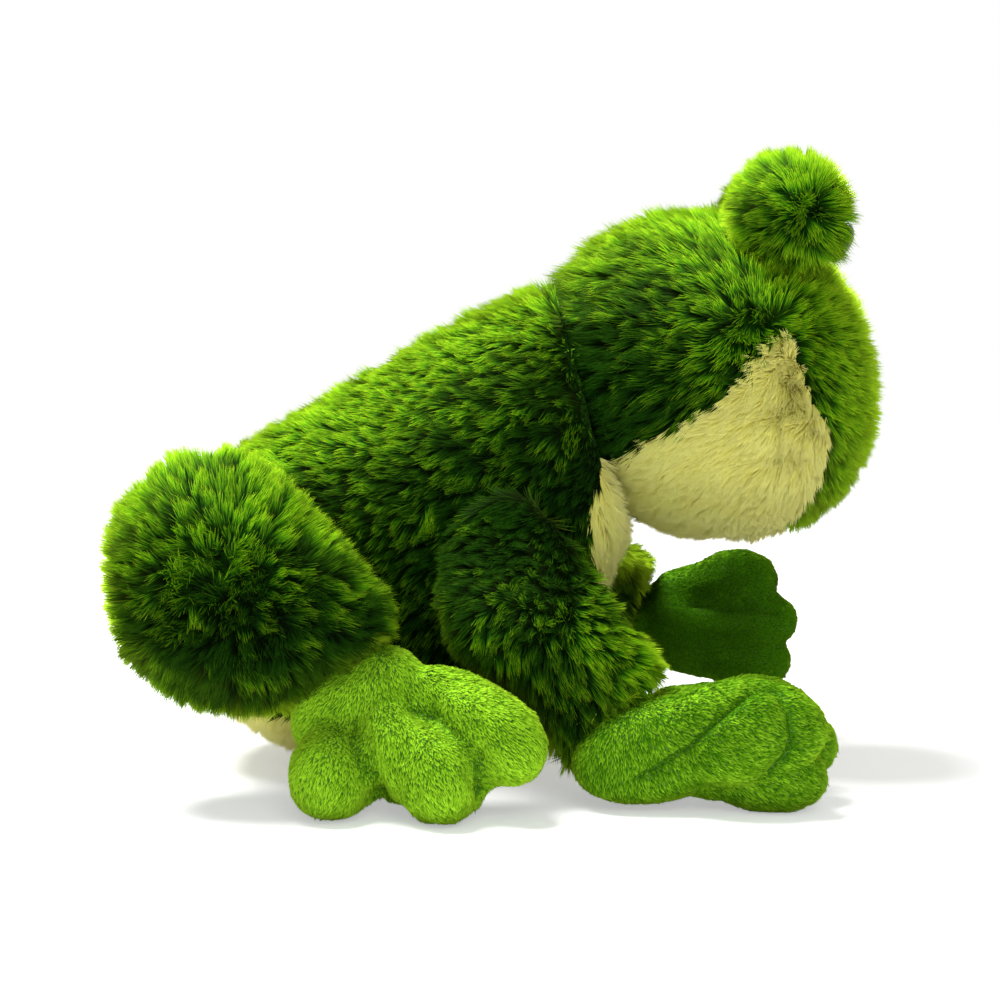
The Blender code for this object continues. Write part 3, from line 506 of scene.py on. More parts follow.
GREEN_PILE = {
    "Strands per square metre": 2.2e6,
    "Strand length": 0.0085,
    "Strand width": 0.00072,
    "Comb": 1.10,
    "Ruffle": 1.8,
    "Ruffle size": 0.013,
    "Stray": 0.18,
    "Tuft size": 0.0036,
    "Tuft pull": 0.50,
    "Tuft lean": 0.85,
    "Length spread": 0.16,
    "Tone spread": 0.40,
    "Tuft tone": 0.65,
    "Broad tone": 1.50,
}
CHEST_PILE = {
    **GREEN_PILE,
    "Strand length": 0.0070,
    "Strand width": 0.00060,
    "Ruffle": 1.4,
    "Tuft pull": 0.4,
    "Tuft lean": 0.6,
    "Tone spread": 0.6,
    "Tuft tone": 0.25,
}
RUMPWARD = (-0.80, 0.0, -0.50)
BELLYWARD = (-0.5, 0.0, -0.8)
UNDER_HEAD_REACH = 0.012
UNDER_JAW_REACH = 0.008
UNDER_LIMB_REACH = 0.006
SHADOW_REACH = 0.030
BELLY_REST = 0.003
BARE_SHARE = 0.25
# Painted shade: the short, thin pile in creases where another piece covers the cloth is darkened.
BARE_PAINTED_SHADE = -0.45
HIDDEN_SHARE = 0.03


def strand_shape():
    """A three-sided spike, one long and one wide, that stands on +Z with its open foot in the cloth."""
    bm = bmesh.new()
    strip = bm.loops.layers.uv.new("strip")
    corners = (0.0, math.tau / 3, math.tau * 2 / 3)
    foot = [bm.verts.new((0.5 * math.cos(angle), 0.5 * math.sin(angle), 0.0)) for angle in corners]
    tip = bm.verts.new((0.0, 0.0, 1.0))
    for first, second in zip(foot, foot[1:] + foot[:1]):
        face = bm.faces.new((first, second, tip))
        for loop, place in zip(face.loops, ((0.0, 0.0), (1.0, 0.0), (0.5, 1.0))):
            loop[strip].uv = place
    mesh = mesh_of("strand", bm)
    mesh.shade_smooth()
    return in_scene("strand", mesh)


def pile_tree():
    """Builds the tree that plants combed, tufted strands on a cloth and presses them at the floor."""
    tree = bpy.data.node_groups.new("pile", "GeometryNodeTree")
    kinds = {"Cloth": "Geometry", **dict.fromkeys(GREEN_PILE, "Float")}
    kinds.update({"Seed": "Int", "Strand": "Object", "Finish": "Material"})
    for label, kind in kinds.items():
        tree.interface.new_socket(label, in_out="INPUT", socket_type="NodeSocket" + kind)
    tree.interface.new_socket("Pile", in_out="OUTPUT", socket_type="NodeSocketGeometry")
    given = node_in(tree, "NodeGroupInput").outputs

    def maths(operation, *values):
        return node_in(tree, "ShaderNodeMath", values, operation=operation).outputs[0]

    def vectors(operation, *values):
        made = node_in(tree, "ShaderNodeVectorMath", values, operation=operation)
        return made.outputs["Value" if operation == "DOT_PRODUCT" else "Vector"]

    def scaled(vector, share):
        values = {"Vector": vector, "Scale": share}
        return node_in(tree, "ShaderNodeVectorMath", values, operation="SCALE").outputs["Vector"]

    def combined(*values):
        return node_in(tree, "ShaderNodeCombineXYZ", values).outputs[0]

    def parts_of(vector):
        return node_in(tree, "ShaderNodeSeparateXYZ", (vector,)).outputs

    def attribute(name, kind="FLOAT"):
        made = node_in(tree, "GeometryNodeInputNamedAttribute", {"Name": name}, data_type=kind)
        return made.outputs["Attribute"]

    def with_attribute(geometry, name, value, kind, domain="POINT"):
        values = {"Geometry": geometry, "Name": name, "Value": value}
        made = node_in(tree, "GeometryNodeStoreNamedAttribute", values, data_type=kind, domain=domain)
        return made.outputs["Geometry"]

    def without_attribute(geometry, name):
        made = node_in(tree, "GeometryNodeRemoveAttribute", {"Geometry": geometry, "Name": name})
        return made.outputs["Geometry"]

    def any_value(kind, low, high, draw):
        made = node_in(tree, "FunctionNodeRandomValue", data_type=kind)
        lowest, highest, *others = [socket for socket in made.inputs if socket.enabled]
        lowest.default_value = low
        highest.default_value = high
        tree.links.new(maths("ADD", given["Seed"], draw), others[-1])
        return next(socket for socket in made.outputs if socket.enabled)

    def any_number(low, high, draw):
        return any_value("FLOAT", low, high, draw)

    def any_direction(draw):
        return any_value("FLOAT_VECTOR", (-1.0, -1.0, -1.0), (1.0, 1.0, 1.0), draw)

    density = maths("MULTIPLY", given["Strands per square metre"], attribute("thick"))
    scatter_values = {"Mesh": given["Cloth"], "Density": density, "Seed": given["Seed"]}
    scatter = node_in(
        tree, "GeometryNodeDistributePointsOnFaces", scatter_values, distribute_method="RANDOM",
    )
    normal = scatter.outputs["Normal"]
    place = node_in(tree, "GeometryNodeInputPosition").outputs[0]
    comb = attribute("comb", "FLOAT_VECTOR")
    middle_grey = (0.5, 0.5, 0.5)

    cell_values = {"Vector": place, "Scale": maths("DIVIDE", 1.0, given["Tuft size"])}
    cells = node_in(tree, "ShaderNodeTexVoronoi", cell_values).outputs
    cell_draws = node_in(tree, "FunctionNodeSeparateColor", (cells["Color"],)).outputs
    inward = vectors("SUBTRACT", cells["Position"], place)
    level = vectors("SUBTRACT", inward, scaled(normal, vectors("DOT_PRODUCT", inward, normal)))
    own_way = scaled(vectors("SUBTRACT", cells["Color"], middle_grey), given["Tuft lean"])

    wave_values = {"Vector": place, "Scale": maths("DIVIDE", 1.0, given["Ruffle size"]), "Detail": 2.0}
    waves = node_in(tree, "ShaderNodeTexNoise", wave_values).outputs
    ruffle = scaled(vectors("SUBTRACT", waves["Color"], middle_grey), given["Ruffle"])

    spread = maths("MULTIPLY", maths("SUBTRACT", cell_draws[1], 0.5), given["Length spread"])
    own_length = maths("ADD", any_number(0.78, 1.12, 1), spread)
    trimmed = maths("MULTIPLY", given["Strand length"], attribute("trim"))
    length = maths("MULTIPLY", trimmed, own_length)
    lean = vectors("ADD", normal, scaled(comb, given["Comb"]))
    lean = vectors("ADD", vectors("ADD", lean, ruffle), own_way)
    lean = vectors("ADD", lean, scaled(any_direction(2), given["Stray"]))
    reach = scaled(vectors("NORMALIZE", lean), length)
    reach = vectors("ADD", reach, scaled(level, given["Tuft pull"]))
    sideways = vectors("ADD", comb, scaled(any_direction(6), 0.7))
    turn_values = {"Primary Axis": reach, "Secondary Axis": sideways}
    turn = node_in(tree, "FunctionNodeAxesToRotation", turn_values, primary_axis="Z", secondary_axis="X")

    light = maths("MULTIPLY", maths("SUBTRACT", any_number(0.0, 1.0, 3), 0.5), given["Tone spread"])
    patch = maths("MULTIPLY", maths("SUBTRACT", cell_draws[0], 0.5), given["Tuft tone"])
    broad = maths("MULTIPLY", maths("SUBTRACT", waves["Fac"], 0.5), given["Broad tone"])
    tone = maths("ADD", maths("ADD", 0.5, light), maths("ADD", patch, broad))
    # The cloth's shade attribute adds each piece's painted light and painted shade to the random tone.
    tone = maths("MINIMUM", maths("MAXIMUM", maths("ADD", tone, attribute("shade")), 0.03), 0.97)
    outward = vectors("NORMALIZE", vectors("ADD", normal, attribute("turned", "FLOAT_VECTOR")))
    rooted = with_attribute(scatter.outputs["Points"], "outward", outward, "FLOAT_VECTOR")
    rooted = with_attribute(rooted, "tone", tone, "FLOAT")

    width = maths("MULTIPLY", given["Strand width"], any_number(0.75, 1.2, 5))
    shape = node_in(tree, "GeometryNodeObjectInfo", {"Object": given["Strand"]})
    planting_values = {
        "Points": rooted,
        "Instance": shape.outputs["Geometry"],
        "Rotation": turn.outputs["Rotation"],
        "Scale": combined(width, width, length),
    }
    planted = node_in(tree, "GeometryNodeInstanceOnPoints", planting_values).outputs["Instances"]
    strands = node_in(tree, "GeometryNodeRealizeInstances", {"Geometry": planted}).outputs["Geometry"]

    across, along, height = parts_of(place)
    floor_rub = maths("ADD", 0.0002, maths("MULTIPLY", maths("MINIMUM", height, 0.0), -0.05))
    flattened = combined(across, along, maths("MAXIMUM", height, floor_rub))
    strands = node_in(tree, "GeometryNodeSetPosition", {"Geometry": strands, "Position": flattened})

    strip = parts_of(attribute("strip", "FLOAT_VECTOR"))
    edge = maths("MULTIPLY", maths("SUBTRACT", strip[0], 0.5), 0.02)
    layout = combined(maths("ADD", attribute("tone"), edge), strip[1])
    mapped = with_attribute(strands.outputs["Geometry"], "OFBake", layout, "FLOAT2", "CORNER")
    mapped = without_attribute(without_attribute(mapped, "strip"), "tone")
    dyed = node_in(tree, "GeometryNodeSetMaterial", {"Geometry": mapped, "Material": given["Finish"]})
    node_in(tree, "NodeGroupOutput", (dyed.outputs["Geometry"],))
    return tree


strand = strand_shape()
PILE_TREE = pile_tree()


def strand_finish(name, colours, places, shade, sheen_tint, sheen=1.0, sheen_spread=0.38):
    """Colour along a strand from root to tip, the dark root partly painted shade, tinted by each strand's tone,
    which is partly random and partly painted light and shade.
    """
    made, tree, shader = finish_of(name, 0.8)
    shader.inputs["Specular IOR Level"].default_value = 0.03
    shader.inputs["Sheen Weight"].default_value = sheen
    shader.inputs["Sheen Roughness"].default_value = sheen_spread
    shader.inputs["Sheen Tint"].default_value = sheen_tint
    strip = node_in(tree, "ShaderNodeUVMap", uv_map="OFBake").outputs["UV"]
    across, along, _ = node_in(tree, "ShaderNodeSeparateXYZ", (strip,)).outputs
    dye = ramp_in(tree, along, list(zip(places, colours)))
    tint = ramp_in(tree, across, ((0.1, shade), (0.9, PURE_WHITE)))
    mix_values = {"Factor": 1.0, 6: dye, 7: tint}
    darker = node_in(tree, "ShaderNodeMix", mix_values, data_type="RGBA", blend_type="MULTIPLY")
    tree.links.new(darker.outputs[2], shader.inputs["Base Color"])
    return made


leaf_colours = (LEAF_ROOT, LEAF_LOW, LEAF_MIDDLE, LEAF_TIP)
leaf_places = (0.0, 0.40, 0.72, 1.0)
leaf_strands = strand_finish("leaf green strands", leaf_colours, leaf_places, LEAF_SHADE, LEAF_SHEEN)
cream_colours = (CREAM_ROOT, CREAM_LOW, CREAM_MIDDLE, CREAM_TIP)
cream_strands = strand_finish(
    "cream strands", cream_colours, (0.0, 0.3, 0.7, 1.0), CREAM_SHADE, CREAM_SHEEN, sheen_spread=0.8
)


def along_surface(normals, directions):
    """Each direction laid into the surface at its point, as a unit vector."""
    flat = directions - normals * np.einsum("ij,ij->i", directions, normals)[:, None]
    size = np.linalg.norm(flat, axis=1)
    return flat / np.maximum(size, 1e-6)[:, None]


def covered(points, normals, neighbours, reach):
    """Which points lie right under another piece."""
    rays = zip(points, normals)
    return np.array([neighbours.ray_cast(Vector(p), Vector(n), reach)[0] is not None for p, n in rays])


def nearness(points, neighbours, reach):
    """From 0 where the nearest neighbour is out of reach to 1 where it touches."""
    found = [neighbours.find_nearest(Vector(point), reach)[3] for point in points]
    return np.array([0.0 if distance is None else 1.0 - distance / reach for distance in found])


def shade_softly(mesh):
    """Shades each strand mostly as the cloth under it, so that light falls on the pile as a whole."""
    outward = rows_of(mesh.attributes["outward"].data, "vector")
    mixed = normals_of(mesh) * (1.0 - SOFT_SHADING) + outward * SOFT_SHADING
    mixed /= np.maximum(np.linalg.norm(mixed, axis=1), 1e-6)[:, None]
    mesh.attributes.remove(mesh.attributes["outward"])
    mesh.normals_split_custom_set_from_vertices(mixed.tolist())


def grow_pile(
    name, cloth, flow, body, finish, sizes, seed,
    lay=1.0, thick=1.0, trim=1.0, shade=0.0, turned=(0.0, 0.0, 0.0),
):
    """Plants a pile on a cloth, as one plain mesh that rides on its body."""
    pile = in_scene(name, cloth.data.copy())
    mesh = pile.data
    count = len(mesh.vertices)
    comb = along_surface(normals_of(mesh), flow) * np.reshape(lay, (-1, 1))
    for attribute, values in (("comb", comb), ("turned", turned)):
        made = mesh.attributes.new(attribute, "FLOAT_VECTOR", "POINT")
        rows = np.broadcast_to(values, (count, 3))
        made.data.foreach_set("vector", np.ascontiguousarray(rows, np.float32).ravel())
    for attribute, values in (("thick", thick), ("trim", trim), ("shade", shade)):
        made = mesh.attributes.new(attribute, "FLOAT", "POINT")
        rows = np.broadcast_to(values, (count,))
        made.data.foreach_set("value", np.ascontiguousarray(rows, np.float32))
    planting = pile.modifiers.new("pile", "NODES")
    planting.node_group = PILE_TREE
    given = {**sizes, "Seed": seed, "Strand": strand, "Finish": finish}
    for item in PILE_TREE.interface.items_tree:
        if item.in_out == "INPUT" and item.name in given:
            planting[item.identifier] = given[item.name]
    made_plain(pile)
    shade_softly(pile.data)
    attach(pile, body)


head_tree = tree_of("head_crown_panel", "head_jaw_panel", "head_filling")
limbs_tree = tree_of("thigh_skin_right", "thigh_skin_left", "arm_skin_right", "arm_skin_left")

points = points_of(torso_back.data)
normals = normals_of(torso_back.data)
back_flow = np.array(RUMPWARD) + (points - points.mean(axis=0)) * (0.0, 0.0, -2.0)
by_head = nearness(points, head_tree, SHADOW_REACH)
by_limb = nearness(points, limbs_tree, SHADOW_REACH)
to_neck = neck_at - points
to_neck /= np.linalg.norm(to_neck, axis=1)[:, None]
bare = covered(points, normals, head_tree, UNDER_HEAD_REACH)
bare |= covered(points, normals, limbs_tree, UNDER_LIMB_REACH)
bare |= (np.einsum("ij,ij->i", normals, to_neck) > 0.45) & (by_head > 0.5)
in_crease = (normals @ neck_axis > 0.60) & (by_head > 0.15)
upward = np.clip(normals[:, 2], 0.0, 1.0)
# Painted light and shade: the pile is lighter where the back faces up, with painted shade beside the head on the
# flanks and beside the limbs.
back_painted_light = np.minimum(2.0 * upward**3 - 0.27, 0.40) - 0.35 * by_head * (1.0 - upward) - 0.45 * by_limb
for side, word in SIDES:
    grow_pile(
        f"torso_{word}_pile", torso_back, back_flow, "torso", leaf_strands,
        GREEN_PILE, 11 + int(side),
        thick=np.where(in_crease, 0.0, np.where(bare, BARE_SHARE, 1.0)) * (points[:, 1] * side > 0.0),
        trim=np.where(bare, 0.35, 1.0 + by_head * (0.5 * upward - 0.3)),
        shade=np.where(bare, BARE_PAINTED_SHADE, back_painted_light),
        turned=by_head[:, None] * neck_axis * -1.2,
    )

points = points_of(torso_belly.data)
normals = normals_of(torso_belly.data)
bare = covered(points, normals, limbs_tree, UNDER_LIMB_REACH) | (points[:, 2] < BELLY_REST)
bare |= covered(points, normals, head_tree, UNDER_JAW_REACH)
belly_flow = np.broadcast_to(BELLYWARD, points.shape)
grow_pile(
    "torso_belly_pile", torso_belly, belly_flow, "torso", cream_strands, CHEST_PILE, 13,
    thick=np.where(bare, HIDDEN_SHARE, 1.0), shade=0.25,
)
finish_cloth(torso_back, green_backing, "torso", "torso_back_panel")
finish_cloth(torso_belly, cream_backing, "torso", "torso_belly_panel")
bpy.data.objects.remove(torso_form)

# The head.
# A ball of plush in two parts, a green crown that wraps over the brow and a cream jaw that comes up the
# cheeks in a point, sewn together, stuffed hard and sewn to the gathered neck.
HEAD_VOXEL = 0.0035
NAPE_RISE = 0.0010
NAPE_BACKWARD = (-0.90, 0.0, 0.44)
NAPE_PILE_WAY = (-0.94, 0.0, 0.34)
BROW_WHORL = np.array((0.31, 0.87, 0.38))
WHORL_REACH = 0.018
BEHIND_REACH = 0.03
BACK_OF_HEAD_WAY = np.array((-0.9, 0.0, -0.25))
BROW_LIGHT_X = 0.099
BROW_LIGHT_Z = 0.172
BROW_LIGHT_WIDTH = 0.017
BROW_LIGHT_HEIGHT = 0.015
CHEEK_TOP = 0.135
CHEEK_REACH = 0.035
NECK_SHADOW_REACH = 0.038
JAW_WAY = (-0.75, 0.0, -0.30)
SEAM_REACH = 0.004
JAW_LOW = 0.100
JAW_RISE = 0.05
CROWN_PILE = {**GREEN_PILE, "Strands per square metre": 2.3e6}
JAW_PILE = {
    **GREEN_PILE,
    "Strands per square metre": 5.6e6,
    "Strand length": 0.0072,
    "Strand width": 0.00052,
    "Comb": 0.9,
    "Ruffle": 2.2,
    "Ruffle size": 0.012,
    "Stray": 0.12,
    "Length spread": 0.08,
    "Tuft pull": 0.22,
    "Tuft lean": 0.42,
    "Tone spread": 0.6,
    "Tuft tone": 0.25,
}

head_form = closed_form("head_form", ["head_crown_panel", "head_jaw_panel", "head_filling"], HEAD_VOXEL, 8)
puff(head_form, PUFF_LIMIT)
nape = facing(normals_of(head_form.data), NAPE_BACKWARD, 2.0)
sink(head_form, CLOTH_INSET - (CLOTH_INSET + NAPE_RISE) * nape)
crown = split_panel(head_form, "head_crown_cloth", "head_crown_panel", "head_jaw_panel")
jaw = split_panel(head_form, "head_jaw_cloth", "head_jaw_panel", "head_crown_panel")
beside_head = tree_of(*torso_nodes, "eye_bump_skin_right", "eye_bump_skin_left")

points = points_of(crown.data)
normals = normals_of(crown.data)
mirrored = np.where(points[:, 1:2] < 0.0, (1.0, -1.0, 1.0), 1.0)
whorls = neck_at + BROW_WHORL * mirrored * np.linalg.norm(points - neck_at, axis=1)[:, None]
flow = points - whorls
from_whorl = np.linalg.norm(flow, axis=1)
flow /= np.maximum(from_whorl, 1e-5)[:, None]
behind = np.clip((whorls[:, 0] - points[:, 0]) / BEHIND_REACH, 0.0, 1.0)[:, None]
flow = flow * (1.0 - 0.5 * behind) + BACK_OF_HEAD_WAY * behind
bare = covered(points, normals, beside_head, UNDER_LIMB_REACH)
nape = facing(normals, NAPE_PILE_WAY)
front = np.clip(normals[:, 0] - 0.1, 0.0, 0.6) / 0.6
top = np.clip(normals[:, 2], 0.0, 1.0)
brow_x = (points[:, 0] - BROW_LIGHT_X) / BROW_LIGHT_WIDTH
brow_z = (points[:, 2] - BROW_LIGHT_Z) / BROW_LIGHT_HEIGHT
brow = np.exp(-(brow_x**2) - brow_z**2)
cheek = np.clip((CHEEK_TOP - points[:, 2]) / CHEEK_REACH, 0.0, 1.0)
torso_tree = tree_of("torso_back_panel", "arm_skin_right", "arm_skin_left")
by_torso = nearness(points, torso_tree, NECK_SHADOW_REACH)
# Painted light and shade: lighter on top, on the face and in a painted pool of light on the brow, darker low on
# the cheek, and with painted shade near the torso.
crown_painted_light = 0.90 * top**3 + 0.60 * front * (1.0 - 1.2 * cheek) + 0.60 * brow - 0.19
grow_pile(
    "head_crown_pile", crown, flow, "head", leaf_strands, CROWN_PILE, 21,
    thick=np.where(bare, BARE_SHARE, 1.0),
    lay=np.clip(from_whorl / WHORL_REACH, 0.2, 1.0),
    trim=np.where(bare, 0.4, 1.0 + 0.7 * nape**2),
    shade=np.where(bare, BARE_PAINTED_SHADE, crown_painted_light - 0.80 * by_torso * (1.0 - top)),
    turned=by_torso[:, None] * neck_axis,
)

points = points_of(jaw.data)
bare = covered(points, normals_of(jaw.data), beside_head, SEAM_REACH)
# Painted light: the jaw's pile is lighter towards the top of the cheeks.
grow_pile(
    "head_jaw_pile", jaw, np.broadcast_to(JAW_WAY, points.shape),
    "head", cream_strands, JAW_PILE, 22,
    thick=np.where(bare, HIDDEN_SHARE, 1.0),
    shade=0.15 + 0.45 * np.clip((points[:, 2] - JAW_LOW) / JAW_RISE, 0.0, 1.0),
)
finish_cloth(crown, green_backing, "head", "head_crown_panel")
finish_cloth(jaw, cream_backing, "head", "head_jaw_panel")
bpy.data.objects.remove(head_form)

# The eye bumps.
# Each is a small ball of the same plush, open below, stuffed and sewn to the crown, with the pile standing
# out from a whorl on its outer side.
BUMP_VOXEL = 0.0022
BUMP_PUFF = 0.0012
BUMP_RADIUS = 0.019
BUMP_WHORL = np.array((0.50, 0.85, 0.10))
BUMP_WHORL_REACH = 0.012
PARTING_REACH = 0.009
BUMP_PILE = {
    **GREEN_PILE,
    "Strands per square metre": 4.2e6,
    "Strand length": 0.0078,
    "Comb": 0.9,
    "Ruffle": 0.9,
    "Tuft size": 0.0034,
}


def middle_of(name):
    """The middle of a CAD node's box."""
    low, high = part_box(name)
    return np.array((low + high) / 2)


for side, word in SIDES:
    skin_node = "eye_bump_skin_" + word
    bump = closed_form(f"eye_bump_{word}_cloth", [skin_node, "eye_bump_filling_" + word], BUMP_VOXEL, 5)
    puff(bump, BUMP_PUFF)
    sink(bump, CLOTH_INSET * 0.6)
    points = points_of(bump.data)
    normals = normals_of(bump.data)
    bump_at = middle_of(skin_node)
    look = middle_of("eye_" + word) - bump_at
    look /= np.linalg.norm(look)
    whorl = bump_at + BUMP_WHORL * (1.0, side, 1.0) * BUMP_RADIUS
    from_whorl = np.linalg.norm(points - whorl, axis=1)
    toward_eye = (points - bump_at) @ look / np.linalg.norm(points - bump_at, axis=1)
    hidden = covered(points, normals, head_tree, SEAM_REACH)
    outer = normals[:, 1] * side > 0.35
    lashes = np.clip((toward_eye - 0.55) / 0.35, 0.0, 1.0) * outer
    cleared = np.clip((toward_eye - 0.72) / 0.15, 0.0, 1.0) * ~outer
    lash_flow = (look + (0.0, side * 0.5, 0.0)) * 0.02
    flow = (points - whorl) * (1.0 - lashes[:, None]) + lash_flow * lashes[:, None]
    parted = np.exp(-((from_whorl / PARTING_REACH) ** 2))
    # Painted light: the pile is lighter where the bump faces up and lighter still round its whorl.
    grow_pile(
        f"eye_bump_{word}_pile", bump, flow, "head", leaf_strands,
        BUMP_PILE, 31 + int(side),
        thick=np.where(hidden, 0.02, np.where(toward_eye > 0.93, 0.0, 1.0)),
        trim=1.0 + 0.50 * lashes - 0.55 * cleared,
        lay=np.clip(from_whorl / BUMP_WHORL_REACH, 0.2, 1.0),
        shade=0.50 * normals[:, 2].clip(0.0, 1.0) - 0.05 + 0.40 * parted,
    )
    finish_cloth(bump, green_backing, "head", skin_node)

# The sleeves and thighs.
# Each arm is a flat tube of long plush with its hem over the hand, and each thigh a plump oval that is
# sewn to the torso's side, with the pile brushed outward from the middle of its outer face.
LIMB_VOXEL = 0.0035
THIGH_LOW_INSET = 0.0065
THIGH_HIGH_INSET = 0.0006
THIGH_OUTER = 0.110
THIGH_LAY_REACH = 0.050
THIGH_PARTING = 0.024
THIGH_SHADOW_REACH = 0.035
THIGH_LOW = 0.090
THIGH_CREST = 0.084
WRIST_HELD = 0.026
SLEEVE_ROOT_REACH = 0.06
SLEEVE_SHADE_LOW = 0.045
SLEEVE_SHADE_RISE = 0.035
HEM_REACH = 0.03
HEM_BACK = 0.004
THIGH_PILE = {**GREEN_PILE, "Strands per square metre": 2.8e6, "Ruffle": 2.2}
SLEEVE_PILE = {**GREEN_PILE, "Strands per square metre": 3.2e6}

for side, word in SIDES:
    skin_node = "thigh_skin_" + word
    thigh = closed_form(f"thigh_{word}_cloth", [skin_node, "thigh_filling_" + word], LIMB_VOXEL, 6)
    puff(thigh, PUFF_LIMIT)
    low_share = facing(normals_of(thigh.data), (-0.25, 0.0, -0.97))
    high_share = facing(normals_of(thigh.data), (-0.60, 0.0, 0.80))
    depth = CLOTH_INSET + (THIGH_LOW_INSET - CLOTH_INSET) * low_share
    sink(thigh, depth + (THIGH_HIGH_INSET - CLOTH_INSET) * high_share)
    points = points_of(thigh.data)
    normals = normals_of(thigh.data)
    outward = normals[:, 1] * side
    low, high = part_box(skin_node)
    middle = np.array((low.x * 0.55 + high.x * 0.45, side * THIGH_OUTER, low.z * 0.45 + high.z * 0.55))
    from_middle = np.linalg.norm(points - middle, axis=1)
    against = (points[:, 1] * side < TORSO_SIDE + 0.0005) & (outward < -0.8)
    beside = nearness(points, tree_of("foot_skin_" + word, "arm_skin_" + word), THIGH_SHADOW_REACH)
    lower = np.clip((THIGH_LOW - points[:, 2]) / 0.030, 0.0, 1.0) * outward.clip(0.0, 1.0)
    crest = np.clip((points[:, 2] - THIGH_CREST) / 0.016, 0.0, 1.0)
    upper = np.maximum(facing(normals, (-0.45, 0.0, 0.90)) ** 2, 0.45 * crest)
    by_torso = facing(normals, (0.90, 0.0, 0.40))
    parted = np.exp(-((from_middle / THIGH_PARTING) ** 2))
    # Painted light and shade: the pile is lighter on the upper side and round the parting at its middle, with
    # painted shade low on the outer face and beside the foot and the arm.
    grow_pile(
        f"thigh_{word}_pile", thigh, points - middle, f"thigh_{word}", leaf_strands,
        THIGH_PILE, 41 + int(side),
        thick=np.where(against, 0.0, 1.0),
        shade=0.50 * upper - 0.20 * beside - 0.42 * lower - 0.15 + 0.16 * parted,
        turned=by_torso[:, None] * np.array((0.0, side * 0.9, 0.0)),
        lay=np.clip(from_middle / THIGH_LAY_REACH, 0.0, 1.0),
    )
    finish_cloth(thigh, green_backing, f"thigh_{word}", skin_node)

    skin_node = "arm_skin_" + word
    sleeve = closed_form(f"arm_{word}_cloth", [skin_node, "arm_filling_" + word], LIMB_VOXEL, 6)
    wrist = np.array(joints["wrist_" + word]["pos_m"])
    puff(sleeve, PUFF_LIMIT, held_at=wrist, held_reach=WRIST_HELD)
    sink(sleeve, CLOTH_INSET)
    points = points_of(sleeve.data)
    sewn_down = (points[:, 2] > SEWN_FLAT_LOW) & (points[:, 1] * side < TORSO_SIDE + 0.004)
    move_points(sleeve.data, flattened_top(points, side))
    points = points_of(sleeve.data)
    normals = normals_of(sleeve.data)
    outward = normals[:, 1] * side
    shoulder = np.array(joints["shoulder_" + word]["pos_m"])
    shoulder[1] = points[:, 1].mean()
    down = (wrist - shoulder) / np.linalg.norm(wrist - shoulder)
    reach = (points - shoulder) @ down
    along = np.clip(reach / SLEEVE_ROOT_REACH, 0.0, 1.0)[:, None]
    flow = down + (points - shoulder - np.outer(reach, down)) * 10.0
    flow = flow * along + np.array((-0.75, 0.0, -0.60)) * (1.0 - along)
    against = (points[:, 1] * side < TORSO_SIDE + 0.0005) & (outward < -0.8)
    end_face = normals @ down > 0.8
    hem = np.clip(1.0 - np.linalg.norm(points - wrist, axis=1) / HEM_REACH, 0.0, 1.0)
    hem *= points[:, 0] > wrist[0] - HEM_BACK
    upper = np.clip((points[:, 2] - SLEEVE_SHADE_LOW) / SLEEVE_SHADE_RISE, 0.0, 1.0)
    lit = facing(normals, (0.85, 0.0, 0.50)) * (1.0 - upper)
    lit *= np.clip(outward + 0.5, 0.0, 1.0) * (1.0 if side < 0.0 else 0.2)
    # Painted light and shade: the pile is lighter on the front of the near sleeve and much less on the far one,
    # with painted shade along the top and away from the front.
    grow_pile(
        f"arm_{word}_pile", sleeve, flow, f"arm_{word}", leaf_strands,
        SLEEVE_PILE, 51 + int(side),
        thick=np.where(against | end_face | sewn_down, 0.02, 1.0),
        trim=1.0 - 0.4 * hem - 0.15 * upper,
        shade=0.75 * lit - 0.60 * np.maximum(upper, 0.6 * (1.0 - lit)),
        turned=upper[:, None] * np.array((0.0, side * 1.4, 0.5)),
    )
    finish_cloth(sleeve, green_backing, f"arm_{word}", skin_node)

# The hands and feet.
# Both are cut from short brushed plush, with fat fingers and toes that are sewn through where they meet,
# so the creases stay in while the lobes swell.
HAND_VOXEL = 0.0016
HAND_PUFF = 0.0022
MINKY_LOW = (0.040, 0.130, 0.003, 1.0)
MINKY_HIGH = (0.080, 0.210, 0.006, 1.0)
MINKY_GRAIN = 700.0
# The nap's dark root is partly its dye and partly painted shade deep in the short pile.
NAP_ROOT = (0.060, 0.200, 0.004, 1.0)
NAP_LOW = (0.200, 0.480, 0.010, 1.0)
NAP_MIDDLE = (0.380, 0.720, 0.022, 1.0)
NAP_TIP = (0.560, 0.900, 0.060, 1.0)
NAP_SHADE = (0.17, 0.30, 0.11, 1.0)
NAP_PILE = {
    "Strands per square metre": 3.4e6,
    "Strand length": 0.0019,
    "Strand width": 0.00075,
    "Comb": 2.2,
    "Ruffle": 0.9,
    "Ruffle size": 0.010,
    "Stray": 0.30,
    "Tuft size": 0.0014,
    "Tuft pull": 0.25,
    "Tuft lean": 0.7,
    "Length spread": 0.16,
    "Tone spread": 0.6,
    "Tuft tone": 0.40,
    "Broad tone": 0.60,
}
FOOT_LOBES = (
    ((-0.0130, 0.0870, 0.0325), (0.0245, 0.0135, 0.0118), 25.0),
    ((-0.0430, 0.0840, 0.0290), (0.0270, 0.0170, 0.0205), 0.0),
)
HAND_LOBES = (
    ((0.0760, 0.0900, 0.0270), (0.0270, 0.0140, 0.0170), -4.0),
    ((0.0500, 0.0830, 0.0200), (0.0290, 0.0140, 0.0165), -14.0),
)
